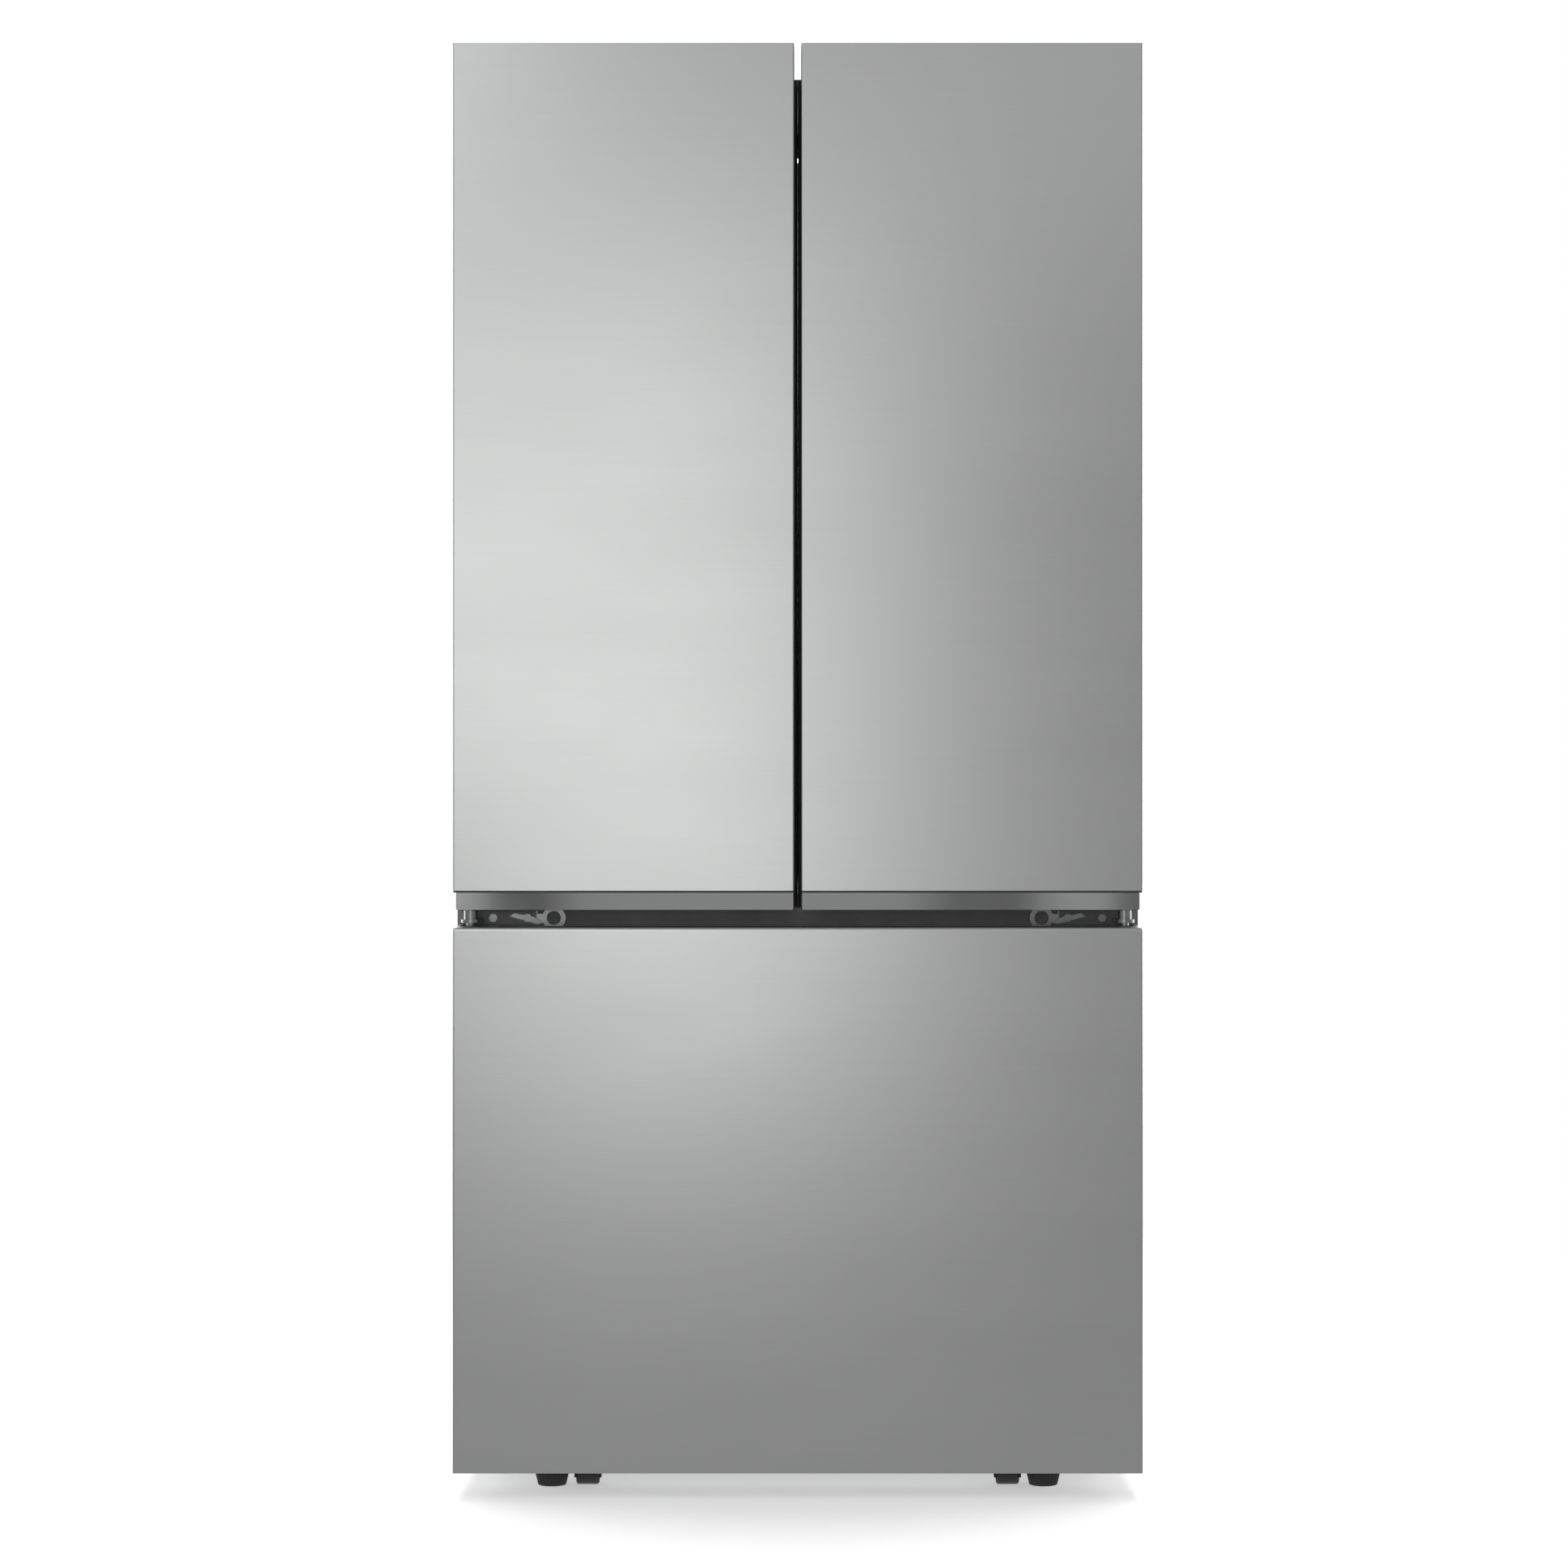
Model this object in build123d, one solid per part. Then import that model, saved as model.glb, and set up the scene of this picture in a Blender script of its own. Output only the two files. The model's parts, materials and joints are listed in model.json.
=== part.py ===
from build123d import *
import os

# French door refrigerator: two hinged doors over one freezer drawer.
# Millimetres. The origin is on the floor under the middle of the body, +Z is up and the
# doors face -Y.

# ---- Driving dimensions ----
WIDTH = 832.0  # body, doors and drawer alike
DEPTH = 740.0  # door face to rear panel
HEIGHT = 1755.0  # floor to the top of the doors
CASE_TOP = 1723.0  # the doors stand above the case by a hinge cover's height
CASE_BOTTOM = 40.0
DOOR_THICKNESS = 70.0
SEAL_GAP = 5.0  # between a door's back and the case
CENTRE_GAP = 8.4  # between the two doors
DOOR_BOTTOM = 733.3  # lower edge of the door skins
TRIM_BOTTOM = 709.8  # lower edge of the handle trims under them
DRAWER_BOTTOM = 31.0
DRAWER_TOP = 690.0
SHELL = 1.0  # painted steel of the case
SHELL_ROUND = 4.0  # rounding along the case's top edges
SKIN = 0.8  # stainless steel of the doors
LINER = 2.5  # formed plastic
WALL = 55.0  # insulated side wall, shell and liner included

# ---- Derived planes ----
HALF = WIDTH / 2
FRONT = -DEPTH / 2
REAR = DEPTH / 2
DOOR_BACK = FRONT + DOOR_THICKNESS
CASE_FRONT = DOOR_BACK + SEAL_GAP
INSIDE = HALF - WALL  # half width of both compartments
DOOR_INNER = CENTRE_GAP / 2

# ---- Compartments ----
FLANGE = 2.0  # liner flange on the case front
FLANGE_OUTER = HALF - 14.0
FOAM_FRONT = CASE_FRONT + FLANGE
FRIDGE_FLOOR, FRIDGE_CEILING = 745.0, 1668.0
FREEZER_FLOOR, FREEZER_CEILING = 100.0, 668.0
RAIL_BOTTOM, RAIL_TOP = 683.0, 728.0  # rail across the case between the compartments
CAVITY_REAR = 310.0
STEP_Y, STEP_Z = 130.0, 262.0  # the freezer steps up and back over the machinery
MACHINE_Y, MACHINE_Z = 157.0, 236.0
PAN_Z = 72.0  # underside of the insulation
SHEET = 1.5  # galvanised sheet
REAR_SHEET = REAR - 1.2

# ---- Hinges ----
PIN_X, PIN_Y = HALF - 20.0, DOOR_BACK - 45.0
PIN_RADIUS = 5.0
RUNNING = 0.06  # radial clearance of a pin in its bore
ARM_HALF = 9.0
ARM_BOTTOM, ARM_TOP = 1738.0, 1742.0
EYE_X, EYE_Z = 298.0, 698.0
EYE_OUTER, EYE_BORE = 14.5, 8.5
NOTCH_X, NOTCH_Z = PIN_X - 12.0, 1735.0  # hinge recess in the door's top corner
CAP_CORNER = 46.0  # length of the cap's thick end around a hinge pin

# ---- Feet and rollers ----
FOOT_X, FOOT_Y = 302.0, -265.0
FOOT_TOP_RADIUS, FOOT_RADIUS, FOOT_HEIGHT = 22.5, 17.5, 26.0
FRONT_WHEEL = dict(x=258.0, y=-262.0, radius=17.0, width=28.0)
REAR_WHEEL = dict(x=300.0, y=330.0, radius=19.0, width=20.0)
AXLE_RADIUS = 4.0

# ---- Door furniture ----
RIB_DEPTH = 38.0  # ribs of a door liner reach this far into the case
RIB_OUTER, RIB_INNER, RIB_WIDTH = 357.0, 46.0, 20.0
RIB_BOTTOM, RIB_TOP = 750.0, 1662.0
BIN_DEPTH, BIN_WALL = 98.0, 2.5
LEFT_BINS = ((1000.0, 95.0), (1200.0, 95.0), (1405.0, 90.0))
RIGHT_BINS = ((1000.0, 95.0), (1220.0, 95.0), (1440.0, 95.0))
LID_Y, LID_Z = -290.0, 1511.0
LID_AXLE = 2.5
FLIP_X, FLIP_Y = -31.0, -285.0  # pivot of the flipper bar between the doors
FLIP_THICK, FLIP_LENGTH = 18.0, 75.0
FLIP_PIN = 3.0
GASKET_WIDTH, GASKET_DEPTH = 16.0, 4.5
GASKET_OUTER, GASKET_INNER = 398.0, 8.0
LIP_INNER, LIP_TOP, LIP_THICK = 0.4, 1722.0, 2.0  # soft fins that meet behind the gap

# ---- Shelves and drawers ----
SHELF_FRONT = -178.0
SHELF_HEIGHTS = (1180.0, 1400.0)
COVER_HEIGHT = 946.0
TRACK_X = (72.0, 352.0)
CRISPER_FRONT, CRISPER_REAR, CRISPER_TOP = -120.0, 275.0, 925.0
BASKET_X, BASKET_FRONT, BASKET_REAR = 330.0, -282.0, 120.0
BASKET_BOTTOM, BASKET_TOP, BASKET_REST = 140.0, 430.0, 330.0
ARM_X = 340.0
SLIDE_Z, SLIDE_HALF = 280.0, 12.0
SHELF_EDGE, SHELF_BACK = 355.0, 285.0
GLASS = 4.0

os.makedirs("parts", exist_ok=True)


def block(x, y, z):
    """A box between two corners, each axis given as (low, high)."""
    spans = [(min(pair), max(pair)) for pair in (x, y, z)]
    size = [high - low for low, high in spans]
    middle = [(high + low) / 2 for low, high in spans]
    return Pos(*middle) * Box(*size)


def rod_z(x, y, z, radius):
    """An upright round bar from z[0] to z[1]."""
    return Pos(x, y, (z[0] + z[1]) / 2) * Cylinder(radius, abs(z[1] - z[0]))


def rod_y(x, y, z, radius):
    """A round bar along Y from y[0] to y[1]."""
    bar = Rotation(90, 0, 0) * Cylinder(radius, abs(y[1] - y[0]))
    return Pos(x, (y[0] + y[1]) / 2, z) * bar


def rod_x(x, y, z, radius):
    """A round bar along X from x[0] to x[1]."""
    bar = Rotation(0, 90, 0) * Cylinder(radius, abs(x[1] - x[0]))
    return Pos((x[0] + x[1]) / 2, y, z) * bar


def side_profile(points, x):
    """An outline of (y, z) points carried along X from x[0] to x[1]."""
    low, high = min(x), max(x)
    outline = make_face(Polyline(*points, close=True).edges())
    return extrude(Plane.YZ.offset(low) * outline, amount=high - low)


def ring(outer_x, outer_z, width, y):
    """A rectangular frame lying in the XZ plane, as wide all round as width."""
    inner_x = (outer_x[0] + width, outer_x[1] - width)
    inner_z = (outer_z[0] + width, outer_z[1] - width)
    return block(outer_x, y, outer_z) - block(inner_x, y, inner_z)


def mirrored(solids):
    """The same pieces on the other side of the YZ plane."""
    return [mirror(solid, about=Plane.YZ) for solid in solids]


def both_sides(*solids):
    return list(solids) + mirrored(solids)


def cut(solid, tools):
    for tool in tools:
        solid = solid - tool
    return solid


def save(node, solids):
    """Write one node, its pieces kept as separate solids."""
    pieces = [piece for solid in solids for piece in solid.solids()]
    export_step(Compound(pieces), f"parts/{node}.step")


# ---------------------------------------------------------------- fasteners
HEX_HEAD, HEX_SHANK = 5.5, 2.5
TOP_PLATE = CASE_TOP + 4  # upper face of the top hinges' plates
TOP_SCREWS = ((-395.0, -228.0), (-372.0, -228.0), (-356.0, -262.0))
MID_SCREW_X = (330.0, 372.0)
MID_PLATE_FRONT = CASE_FRONT - 3.5
REAR_COVER = (REAR - 3.4, REAR - 2.2)
COVER_SCREW_X, COVER_SCREW_Z = (-400, -134, 134, 400), (58.0, 226.0)


def hex_screw_z(x, y, z, length=12.0):
    """A screw driven down into a face at height z."""
    head = Pos(x, y, z) * extrude(RegularPolygon(HEX_HEAD, 6), amount=4)
    washer = rod_z(x, y, (z, z + 1.2), 7.0)
    return head + washer + rod_z(x, y, (z - length, z), HEX_SHANK)


def hex_screw_y(x, y, z, length=12.0):
    """A screw driven towards +Y into a face at y."""
    head = Pos(x, y, z) * Rotation(90, 0, 0) * extrude(RegularPolygon(HEX_HEAD, 6), amount=4)
    return head + rod_y(x, (y, y + length), z, HEX_SHANK)


def pan_screw_rear(x, z):
    """A low screw driven towards -Y through the rear cover."""
    head = rod_y(x, (REAR_COVER[1], REAR_COVER[1] + 1.4), z, 4.0)
    return head + rod_y(x, (REAR_COVER[1] - 8, REAR_COVER[1]), z, 1.8)




def hinge_screw_solids():
    screws = [hex_screw_z(x, y, TOP_PLATE) for x, y in TOP_SCREWS]
    screws += [hex_screw_y(-x, MID_PLATE_FRONT, EYE_Z) for x in MID_SCREW_X]
    return both_sides(*screws)


def cover_screw_solids():
    return [pan_screw_rear(x, z) for x in COVER_SCREW_X for z in COVER_SCREW_Z]


HINGE_SCREWS = hinge_screw_solids()
COVER_SCREWS = cover_screw_solids()


# ---------------------------------------------------------------- cabinet
def cabinet_shell():
    """One wrapper of painted steel: two sides and the top, folded in at the front."""
    depth = (CASE_FRONT, REAR)
    outer = block((-HALF, HALF), depth, (CASE_BOTTOM, CASE_TOP))
    corners = outer.edges().filter_by(Axis.Y).group_by(Axis.Z)[-1]
    outer = fillet(corners, SHELL_ROUND)
    inner_x = HALF - SHELL
    inner = block((-inner_x, inner_x), depth, (CASE_BOTTOM, CASE_TOP - SHELL))
    corners = inner.edges().filter_by(Axis.Y).group_by(Axis.Z)[-1]
    inner = fillet(corners, SHELL_ROUND - SHELL)
    fold_y = (CASE_FRONT, CASE_FRONT + SHELL)
    opening_x = FLANGE_OUTER
    fold = block((-inner_x, inner_x), fold_y, (CASE_BOTTOM, CASE_TOP - SHELL))
    fold -= block((-opening_x, opening_x), fold_y, (CASE_BOTTOM, CASE_TOP - 14))
    return [cut(outer - inner + fold, HINGE_SCREWS)]


def cabinet_foam():
    """The insulation, as wall blocks that meet face to face."""
    out, inn = HALF - SHELL, INSIDE + LINER
    top = CASE_TOP - SHELL
    front_bay = (FOAM_FRONT, MACHINE_Y)
    rear_bay = (MACHINE_Y, REAR_SHEET)
    cavity = (FOAM_FRONT, CAVITY_REAR + LINER)
    walls = []
    for bay, low in ((front_bay, PAN_Z), (rear_bay, MACHINE_Z)):
        wall = block((-out, -inn), bay, (low, top))
        top_edge = wall.edges().filter_by(Axis.Y).group_by(Axis.Z)[-1].sort_by(Axis.X)[0]
        walls.append(fillet(top_edge, SHELL_ROUND - SHELL))
    sides = both_sides(*walls)
    middle = [
        block((-inn, inn), cavity, (FRIDGE_CEILING + LINER, top)),
        block((-inn, inn), (CAVITY_REAR + LINER, REAR_SHEET), (MACHINE_Z, top)),
        block((-inn, inn), cavity, (FREEZER_CEILING + LINER, FRIDGE_FLOOR - LINER)),
        block((-inn, inn), (FOAM_FRONT, STEP_Y + LINER), (PAN_Z, FREEZER_FLOOR - LINER)),
        block((-inn, inn), (STEP_Y + LINER, MACHINE_Y), (PAN_Z, MACHINE_Z)),
        block((-inn, inn), (STEP_Y + LINER, CAVITY_REAR + LINER), (MACHINE_Z, STEP_Z - LINER)),
    ]
    return [cut(piece, HINGE_SCREWS) for piece in sides + middle]


def fridge_liner():
    """The fridge tub with its flange on the case front and ledges for the shelf over the drawers."""
    tub_y = (FOAM_FRONT, CAVITY_REAR + LINER)
    outer_x, z = INSIDE + LINER, (FRIDGE_FLOOR - LINER, FRIDGE_CEILING + LINER)
    tub = block((-outer_x, outer_x), tub_y, z)
    flange = block(
        (-FLANGE_OUTER, FLANGE_OUTER), (CASE_FRONT, FOAM_FRONT), (RAIL_TOP, CASE_TOP - 14)
    )
    cavity = block(
        (-INSIDE, INSIDE), (CASE_FRONT, CAVITY_REAR), (FRIDGE_FLOOR, FRIDGE_CEILING)
    )
    liner = tub + flange - cavity
    for side in (-1, 1):
        liner += block(
            (side * INSIDE, side * (INSIDE - 8)),
            (-160, 290),
            (COVER_HEIGHT - 16, COVER_HEIGHT - 6),
        )
    return [liner]


def freezer_profile(grow, front):
    """Side outline of the freezer tub, grown outwards by a wall thickness."""
    return [
        (front, FREEZER_FLOOR - grow),
        (STEP_Y + grow, FREEZER_FLOOR - grow),
        (STEP_Y + grow, STEP_Z - grow),
        (CAVITY_REAR + grow, STEP_Z - grow),
        (CAVITY_REAR + grow, FREEZER_CEILING + grow),
        (front, FREEZER_CEILING + grow),
    ]


def freezer_liner():
    outer_x = INSIDE + LINER
    tub = side_profile(freezer_profile(LINER, FOAM_FRONT), (-outer_x, outer_x))
    flange = block(
        (-FLANGE_OUTER, FLANGE_OUTER), (CASE_FRONT, FOAM_FRONT), (PAN_Z, RAIL_BOTTOM)
    )
    cavity = side_profile(freezer_profile(0, CASE_FRONT), (-INSIDE, INSIDE))
    return [tub + flange - cavity]


def mullion_rail():
    """Dark rail across the case front between the two compartments."""
    rail = block(
        (-FLANGE_OUTER, FLANGE_OUTER), (CASE_FRONT, FOAM_FRONT), (RAIL_BOTTOM, RAIL_TOP)
    )
    return [cut(rail, HINGE_SCREWS)]


def back_panel():
    """Galvanised rear sheet with two pressed stiffening channels."""
    edge = HALF - SHELL
    panel = block((-edge, edge), (REAR_SHEET, REAR), (MACHINE_Z, CASE_TOP - SHELL))
    top_corners = panel.edges().filter_by(Axis.Y).group_by(Axis.Z)[-1]
    panel = fillet(top_corners, SHELL_ROUND - SHELL)
    for x in (-250, 0, 250):
        panel -= block((x - 12, x + 12), (REAR - 0.6, REAR), (320, 1640))
    return [panel]


def rear_cover():
    """Louvred cover over the machinery."""
    cover = block((-411, 411), REAR_COVER, (46, MACHINE_Z - 1.5))
    for group in (-260, 260):
        for row in range(9):
            for column in (-62, 0, 62):
                x, z = group + column, 70 + 17 * row
                cover -= block((x - 25, x + 25), REAR_COVER, (z, z + 6))
    return [cut(cover, COVER_SCREWS + [rod_y(GLAND_X, (340, REAR), GLAND_Z, 9.0)])]


GLAND_X, GLAND_Z = 365.0, 205.0


def cord_gland():
    """Strain relief for the mains lead: a collar either side of the rear cover."""
    inside = rod_y(GLAND_X, (REAR - 18, REAR_COVER[1]), GLAND_Z, 9.0)
    collar = rod_y(GLAND_X, (REAR_COVER[1], REAR), GLAND_Z, 13.0)
    nut = rod_y(GLAND_X, (REAR - 12, REAR_COVER[0]), GLAND_Z, 12.0)
    return [inside + collar + nut - rod_y(GLAND_X, (REAR - 18, REAR), GLAND_Z, 4.0)]


def frame_side():
    """One side of the base: a rail with a foot flange, standing taller beside the machinery."""
    web = [
        (FOAM_FRONT, CASE_BOTTOM),
        (REAR_SHEET, CASE_BOTTOM),
        (REAR_SHEET, MACHINE_Z),
        (MACHINE_Y, MACHINE_Z),
        (MACHINE_Y, PAN_Z - SHEET),
        (FOAM_FRONT, PAN_Z - SHEET),
    ]
    edge = HALF - SHELL
    rail = side_profile(web, (-edge, -edge + 2))
    flange = block((-edge, -383), (FOAM_FRONT, REAR_SHEET), (CASE_BOTTOM, CASE_BOTTOM + 3))
    return rail + flange


def base_pan():
    """Bent sheet under the insulation, up behind the freezer and back over the machinery."""
    low, high = PAN_Z - SHEET, MACHINE_Z
    outline = [
        (FOAM_FRONT, low),
        (MACHINE_Y + SHEET, low),
        (MACHINE_Y + SHEET, high - SHEET),
        (REAR_SHEET - 3, high - SHEET),
        (REAR_SHEET - 3, high),
        (MACHINE_Y, high),
        (MACHINE_Y, PAN_Z),
        (FOAM_FRONT, PAN_Z),
    ]
    return side_profile(outline, (-HALF + 3, HALF - 3))


def base_frame():
    crossbar = block((-383, 383), (FOAM_FRONT + 2, -235), (CASE_BOTTOM, CASE_BOTTOM + 3))
    crossbar += block((-383, 383), (FOAM_FRONT, FOAM_FRONT + 2), (CASE_BOTTOM, PAN_Z - SHEET))
    for side in (-1, 1):
        x = side * FOOT_X
        nut = extrude(RegularPolygon(10, 6), amount=9)
        crossbar += Pos(x, FOOT_Y, CASE_BOTTOM + 3) * nut
        crossbar -= rod_z(x, FOOT_Y, (CASE_BOTTOM, CASE_BOTTOM + 12), PIN_RADIUS + RUNNING)
    tray = block((-383, 383), (165, REAR_SHEET - 4), (CASE_BOTTOM, CASE_BOTTOM + 3))
    for x, y in grommet_places():
        tray -= rod_z(x, y, (CASE_BOTTOM, CASE_BOTTOM + 3), 5)
    return both_sides(frame_side()) + [base_pan(), crossbar, tray]


def wheel_bracket(wheel, top_half):
    """Two cheeks and the axle they hold."""
    x, y, radius = wheel["x"], wheel["y"], wheel["radius"]
    inner = wheel["width"] / 2 + 0.5
    outline = [
        (y - top_half, CASE_BOTTOM),
        (y - 8, radius - 8),
        (y + 8, radius - 8),
        (y + top_half, CASE_BOTTOM),
    ]
    axle = rod_x((-x - inner - 3.5, -x + inner + 3.5), y, radius, AXLE_RADIUS)
    cheeks = []
    for side in (-1, 1):
        near, far = -x + side * inner, -x + side * (inner + 2)
        cheeks.append(side_profile(outline, (near, far)) - axle)
    return cheeks + [axle]


def roller_brackets():
    return both_sides(*wheel_bracket(FRONT_WHEEL, 14.0), *wheel_bracket(REAR_WHEEL, 20.0))


def wheel_pair(wheel):
    """A left and a right wheel that turn on axles in one line."""
    half = wheel["width"] / 2
    x, y, radius = -wheel["x"], wheel["y"], wheel["radius"]
    tyre = rod_x((x - half, x + half), y, radius, radius)
    tyre = chamfer(tyre.edges().filter_by(GeomType.CIRCLE), 2)
    for side in (-1, 1):
        rim_x = (x + side * half, x + side * (half - 3))
        recess = rod_x(rim_x, y, radius, radius - 5)
        tyre -= recess - rod_x(rim_x, y, radius, AXLE_RADIUS + 3)
    return both_sides(tyre - rod_x((x - half, x + half), y, radius, AXLE_RADIUS + RUNNING))


def foot(x):
    """Levelling foot: a tapered pad on a threaded stem."""
    pad = Pos(x, FOOT_Y, FOOT_HEIGHT / 2) * Cone(FOOT_RADIUS, FOOT_TOP_RADIUS, FOOT_HEIGHT)
    return [pad + rod_z(x, FOOT_Y, (FOOT_HEIGHT, 62), PIN_RADIUS)]


# ---------------------------------------------------------------- machinery
COMPRESSOR = (-235.0, 263.0)
FAN_X, FAN_Y, FAN_Z = -42.0, 263.0, 132.0
COIL_X = (30.0, 330.0)
FAN_SHAFT, BLADE_PITCH = 2.5, 32.0


def grommet_places():
    x, y = COMPRESSOR
    return [(x + dx, y + dy) for dx in (-85, 85) for dy in (-62, 62)]


def compressor():
    """Sealed pot with a weld flange, tube stubs, a terminal box and a foot plate."""
    x, y = COMPRESSOR
    pot = rod_z(x, y, (61, 214), 76)
    pot = fillet(pot.edges().filter_by(GeomType.CIRCLE), 28)
    pot += rod_z(x, y, (134, 140), 81)
    pot += block((x + 60, x + 92), (y - 24, y + 24), (96, 160))
    for dx, dy in ((-40, -55), (10, -66), (46, 50)):
        pot += rod_z(x + dx, y + dy, (150, 226), 4)
    plate = block((x - 98, x + 98), (y - 76, y + 76), (58, 61))
    for px, py in grommet_places():
        plate -= rod_z(px, py, (58, 61), 7)
    return [pot, plate]


def compressor_grommets():
    """Rubber mounts clipped through the foot plate."""
    grommets = []
    for x, y in grommet_places():
        grommet = rod_z(x, y, (43, 58), 12)
        grommet += rod_z(x, y, (58, 61), 7)
        grommet += rod_z(x, y, (61, 65), 10)
        grommets.append(grommet - rod_z(x, y, (43, 65), 3))
    return grommets


def fins(x, y, z, pitch, tubes, thickness=1.0):
    """A row of flat fins on straight tubes that run along X."""
    coil = None
    count = int((x[1] - x[0]) / pitch)
    for step in range(count + 1):
        fin = block((x[0] + step * pitch, x[0] + step * pitch + thickness), y, z)
        coil = fin if coil is None else coil + fin
    for tube_y, tube_z in tubes:
        coil += rod_x((x[0] - 6, x[0] + count * pitch + thickness + 6), tube_y, tube_z, 4)
    return coil


def condenser():
    """Finned coil, and the fan's square shroud with its motor and shaft."""
    tubes = [(y, z) for y in (210, 262, 314) for z in (95, 130, 165)]
    coil = fins(COIL_X, (182, 344), (75, 185), 15.0, tubes)
    shroud_x = (FAN_X + 24, FAN_X + 27)
    plate = block(shroud_x, (FAN_Y - 80, FAN_Y + 80), (46, 224))
    plate -= rod_x(shroud_x, FAN_Y, FAN_Z, 68)
    plate += block(shroud_x, (FAN_Y - 70, FAN_Y + 70), (FAN_Z - 6, FAN_Z + 6))
    motor = rod_x((FAN_X + 27, FAN_X + 58), FAN_Y, FAN_Z, 22)
    shaft = rod_x((FAN_X - 9, FAN_X + 24), FAN_Y, FAN_Z, FAN_SHAFT)
    return [coil, plate + motor + shaft]


def fan_blades(radius, hub, depth, count=5):
    """An axial fan about Z, centred on the origin, with a bore for its shaft."""
    wheel = Cylinder(hub, depth)
    blade = Rotation(BLADE_PITCH, 0, 0) * Box(radius - hub + 2, 30, 1.6)
    blade = Pos((radius + hub) / 2 - 1, 0, 0) * blade
    for step in range(count):
        wheel += Rotation(0, 0, step * 360 / count) * blade
    return wheel - Cylinder(FAN_SHAFT + RUNNING, depth)


def condenser_fan():
    return [Pos(FAN_X + 3, FAN_Y, FAN_Z) * Rotation(0, 90, 0) * fan_blades(62, 15, 24)]


def drain_pan():
    """Shallow pan under the coil that catches the defrost water."""
    outer = block((24, 340), (178, 348), (44, 68))
    return [outer - block((26, 338), (180, 346), (46, 68))]


EVAPORATOR_FAN = (0.0, 246.0, 600.0)


def evaporator():
    """Finned coil behind the freezer's rear cover, and the fan motor above it."""
    tubes = [(y, z) for y in (252, 284) for z in (350, 400, 450, 500)]
    coil = fins((-240, 240), (238, 298), (330, 520), 20.0, tubes)
    x, y, z = EVAPORATOR_FAN
    motor = rod_y(x, (y + 14, y + 46), z, 24)
    motor += block((x - 70, x + 70), (y + 46, y + 49), (z - 10, z + 10))
    motor += rod_y(x, (y - 9, y + 14), z, FAN_SHAFT)
    return [coil, motor]


def evaporator_fan():
    x, y, z = EVAPORATOR_FAN
    return [Pos(x, y, z) * Rotation(90, 0, 0) * fan_blades(44, 13, 20)]


def air_duct_covers():
    """The freezer's rear cover with its fan grille, and the fridge's air tower."""
    cover_y = (222, 225)
    cover = block((-INSIDE + 2, INSIDE - 2), cover_y, (STEP_Z + 2, FREEZER_CEILING - 2))
    fan_x, _, fan_z = EVAPORATOR_FAN
    cover -= rod_y(fan_x, cover_y, fan_z, 50)
    for radius in (16, 33):
        cover += rod_y(fan_x, cover_y, fan_z, radius) - rod_y(fan_x, cover_y, fan_z, radius - 4)
    cover += block((fan_x - 52, fan_x + 52), cover_y, (fan_z - 2, fan_z + 2))
    cover += block((fan_x - 2, fan_x + 2), cover_y, (fan_z - 52, fan_z + 52))
    for column in range(9):
        x = -240 + 60 * column
        cover -= block((x - 22, x + 22), cover_y, (STEP_Z + 18, STEP_Z + 26))
    tower = block((-58, 58), (298, CAVITY_REAR), (985, 1640))
    for row in range(5):
        z = 1060 + 130 * row
        tower -= block((-44, 44), (298, 303), (z, z + 10))
    return [cover, tower]


# ---------------------------------------------------------------- hinges
def top_hinges():
    """Plate on the case top, stepped up to an arm over the door, with its pin."""
    plate = block((-408, -345), (-285, -215), (CASE_TOP, TOP_PLATE))
    plate += block((-PIN_X - ARM_HALF, -PIN_X + ARM_HALF), (-289, -285), (CASE_TOP, ARM_TOP))
    arm = block((-PIN_X - ARM_HALF, -PIN_X + ARM_HALF), (PIN_Y, -285), (ARM_BOTTOM, ARM_TOP))
    arm += rod_z(-PIN_X, PIN_Y, (ARM_BOTTOM, ARM_TOP), ARM_HALF)
    pin = rod_z(-PIN_X, PIN_Y, (1712, ARM_TOP + 3), PIN_RADIUS)
    return both_sides(cut(plate + arm + pin, HINGE_SCREWS))


def hinge_covers():
    """Hollow plastic covers over the top hinges."""
    y, z = (-293, -190), (CASE_TOP, 1752)
    cover = block((-412, -330), y, z)
    upright = cover.edges().filter_by(Axis.Z)
    cover = fillet(upright, 5)
    cover = fillet(cover.edges().group_by(Axis.Z)[-1], 3)
    cover -= block((-410, -332), (y[0] + 2, y[1] - 2), (z[0], z[1] - 2.5))
    cover -= block((-PIN_X - 11, -PIN_X + 11), (y[0], y[0] + 2), (CASE_TOP + 12, ARM_TOP + 3))
    return both_sides(cover)


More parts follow.
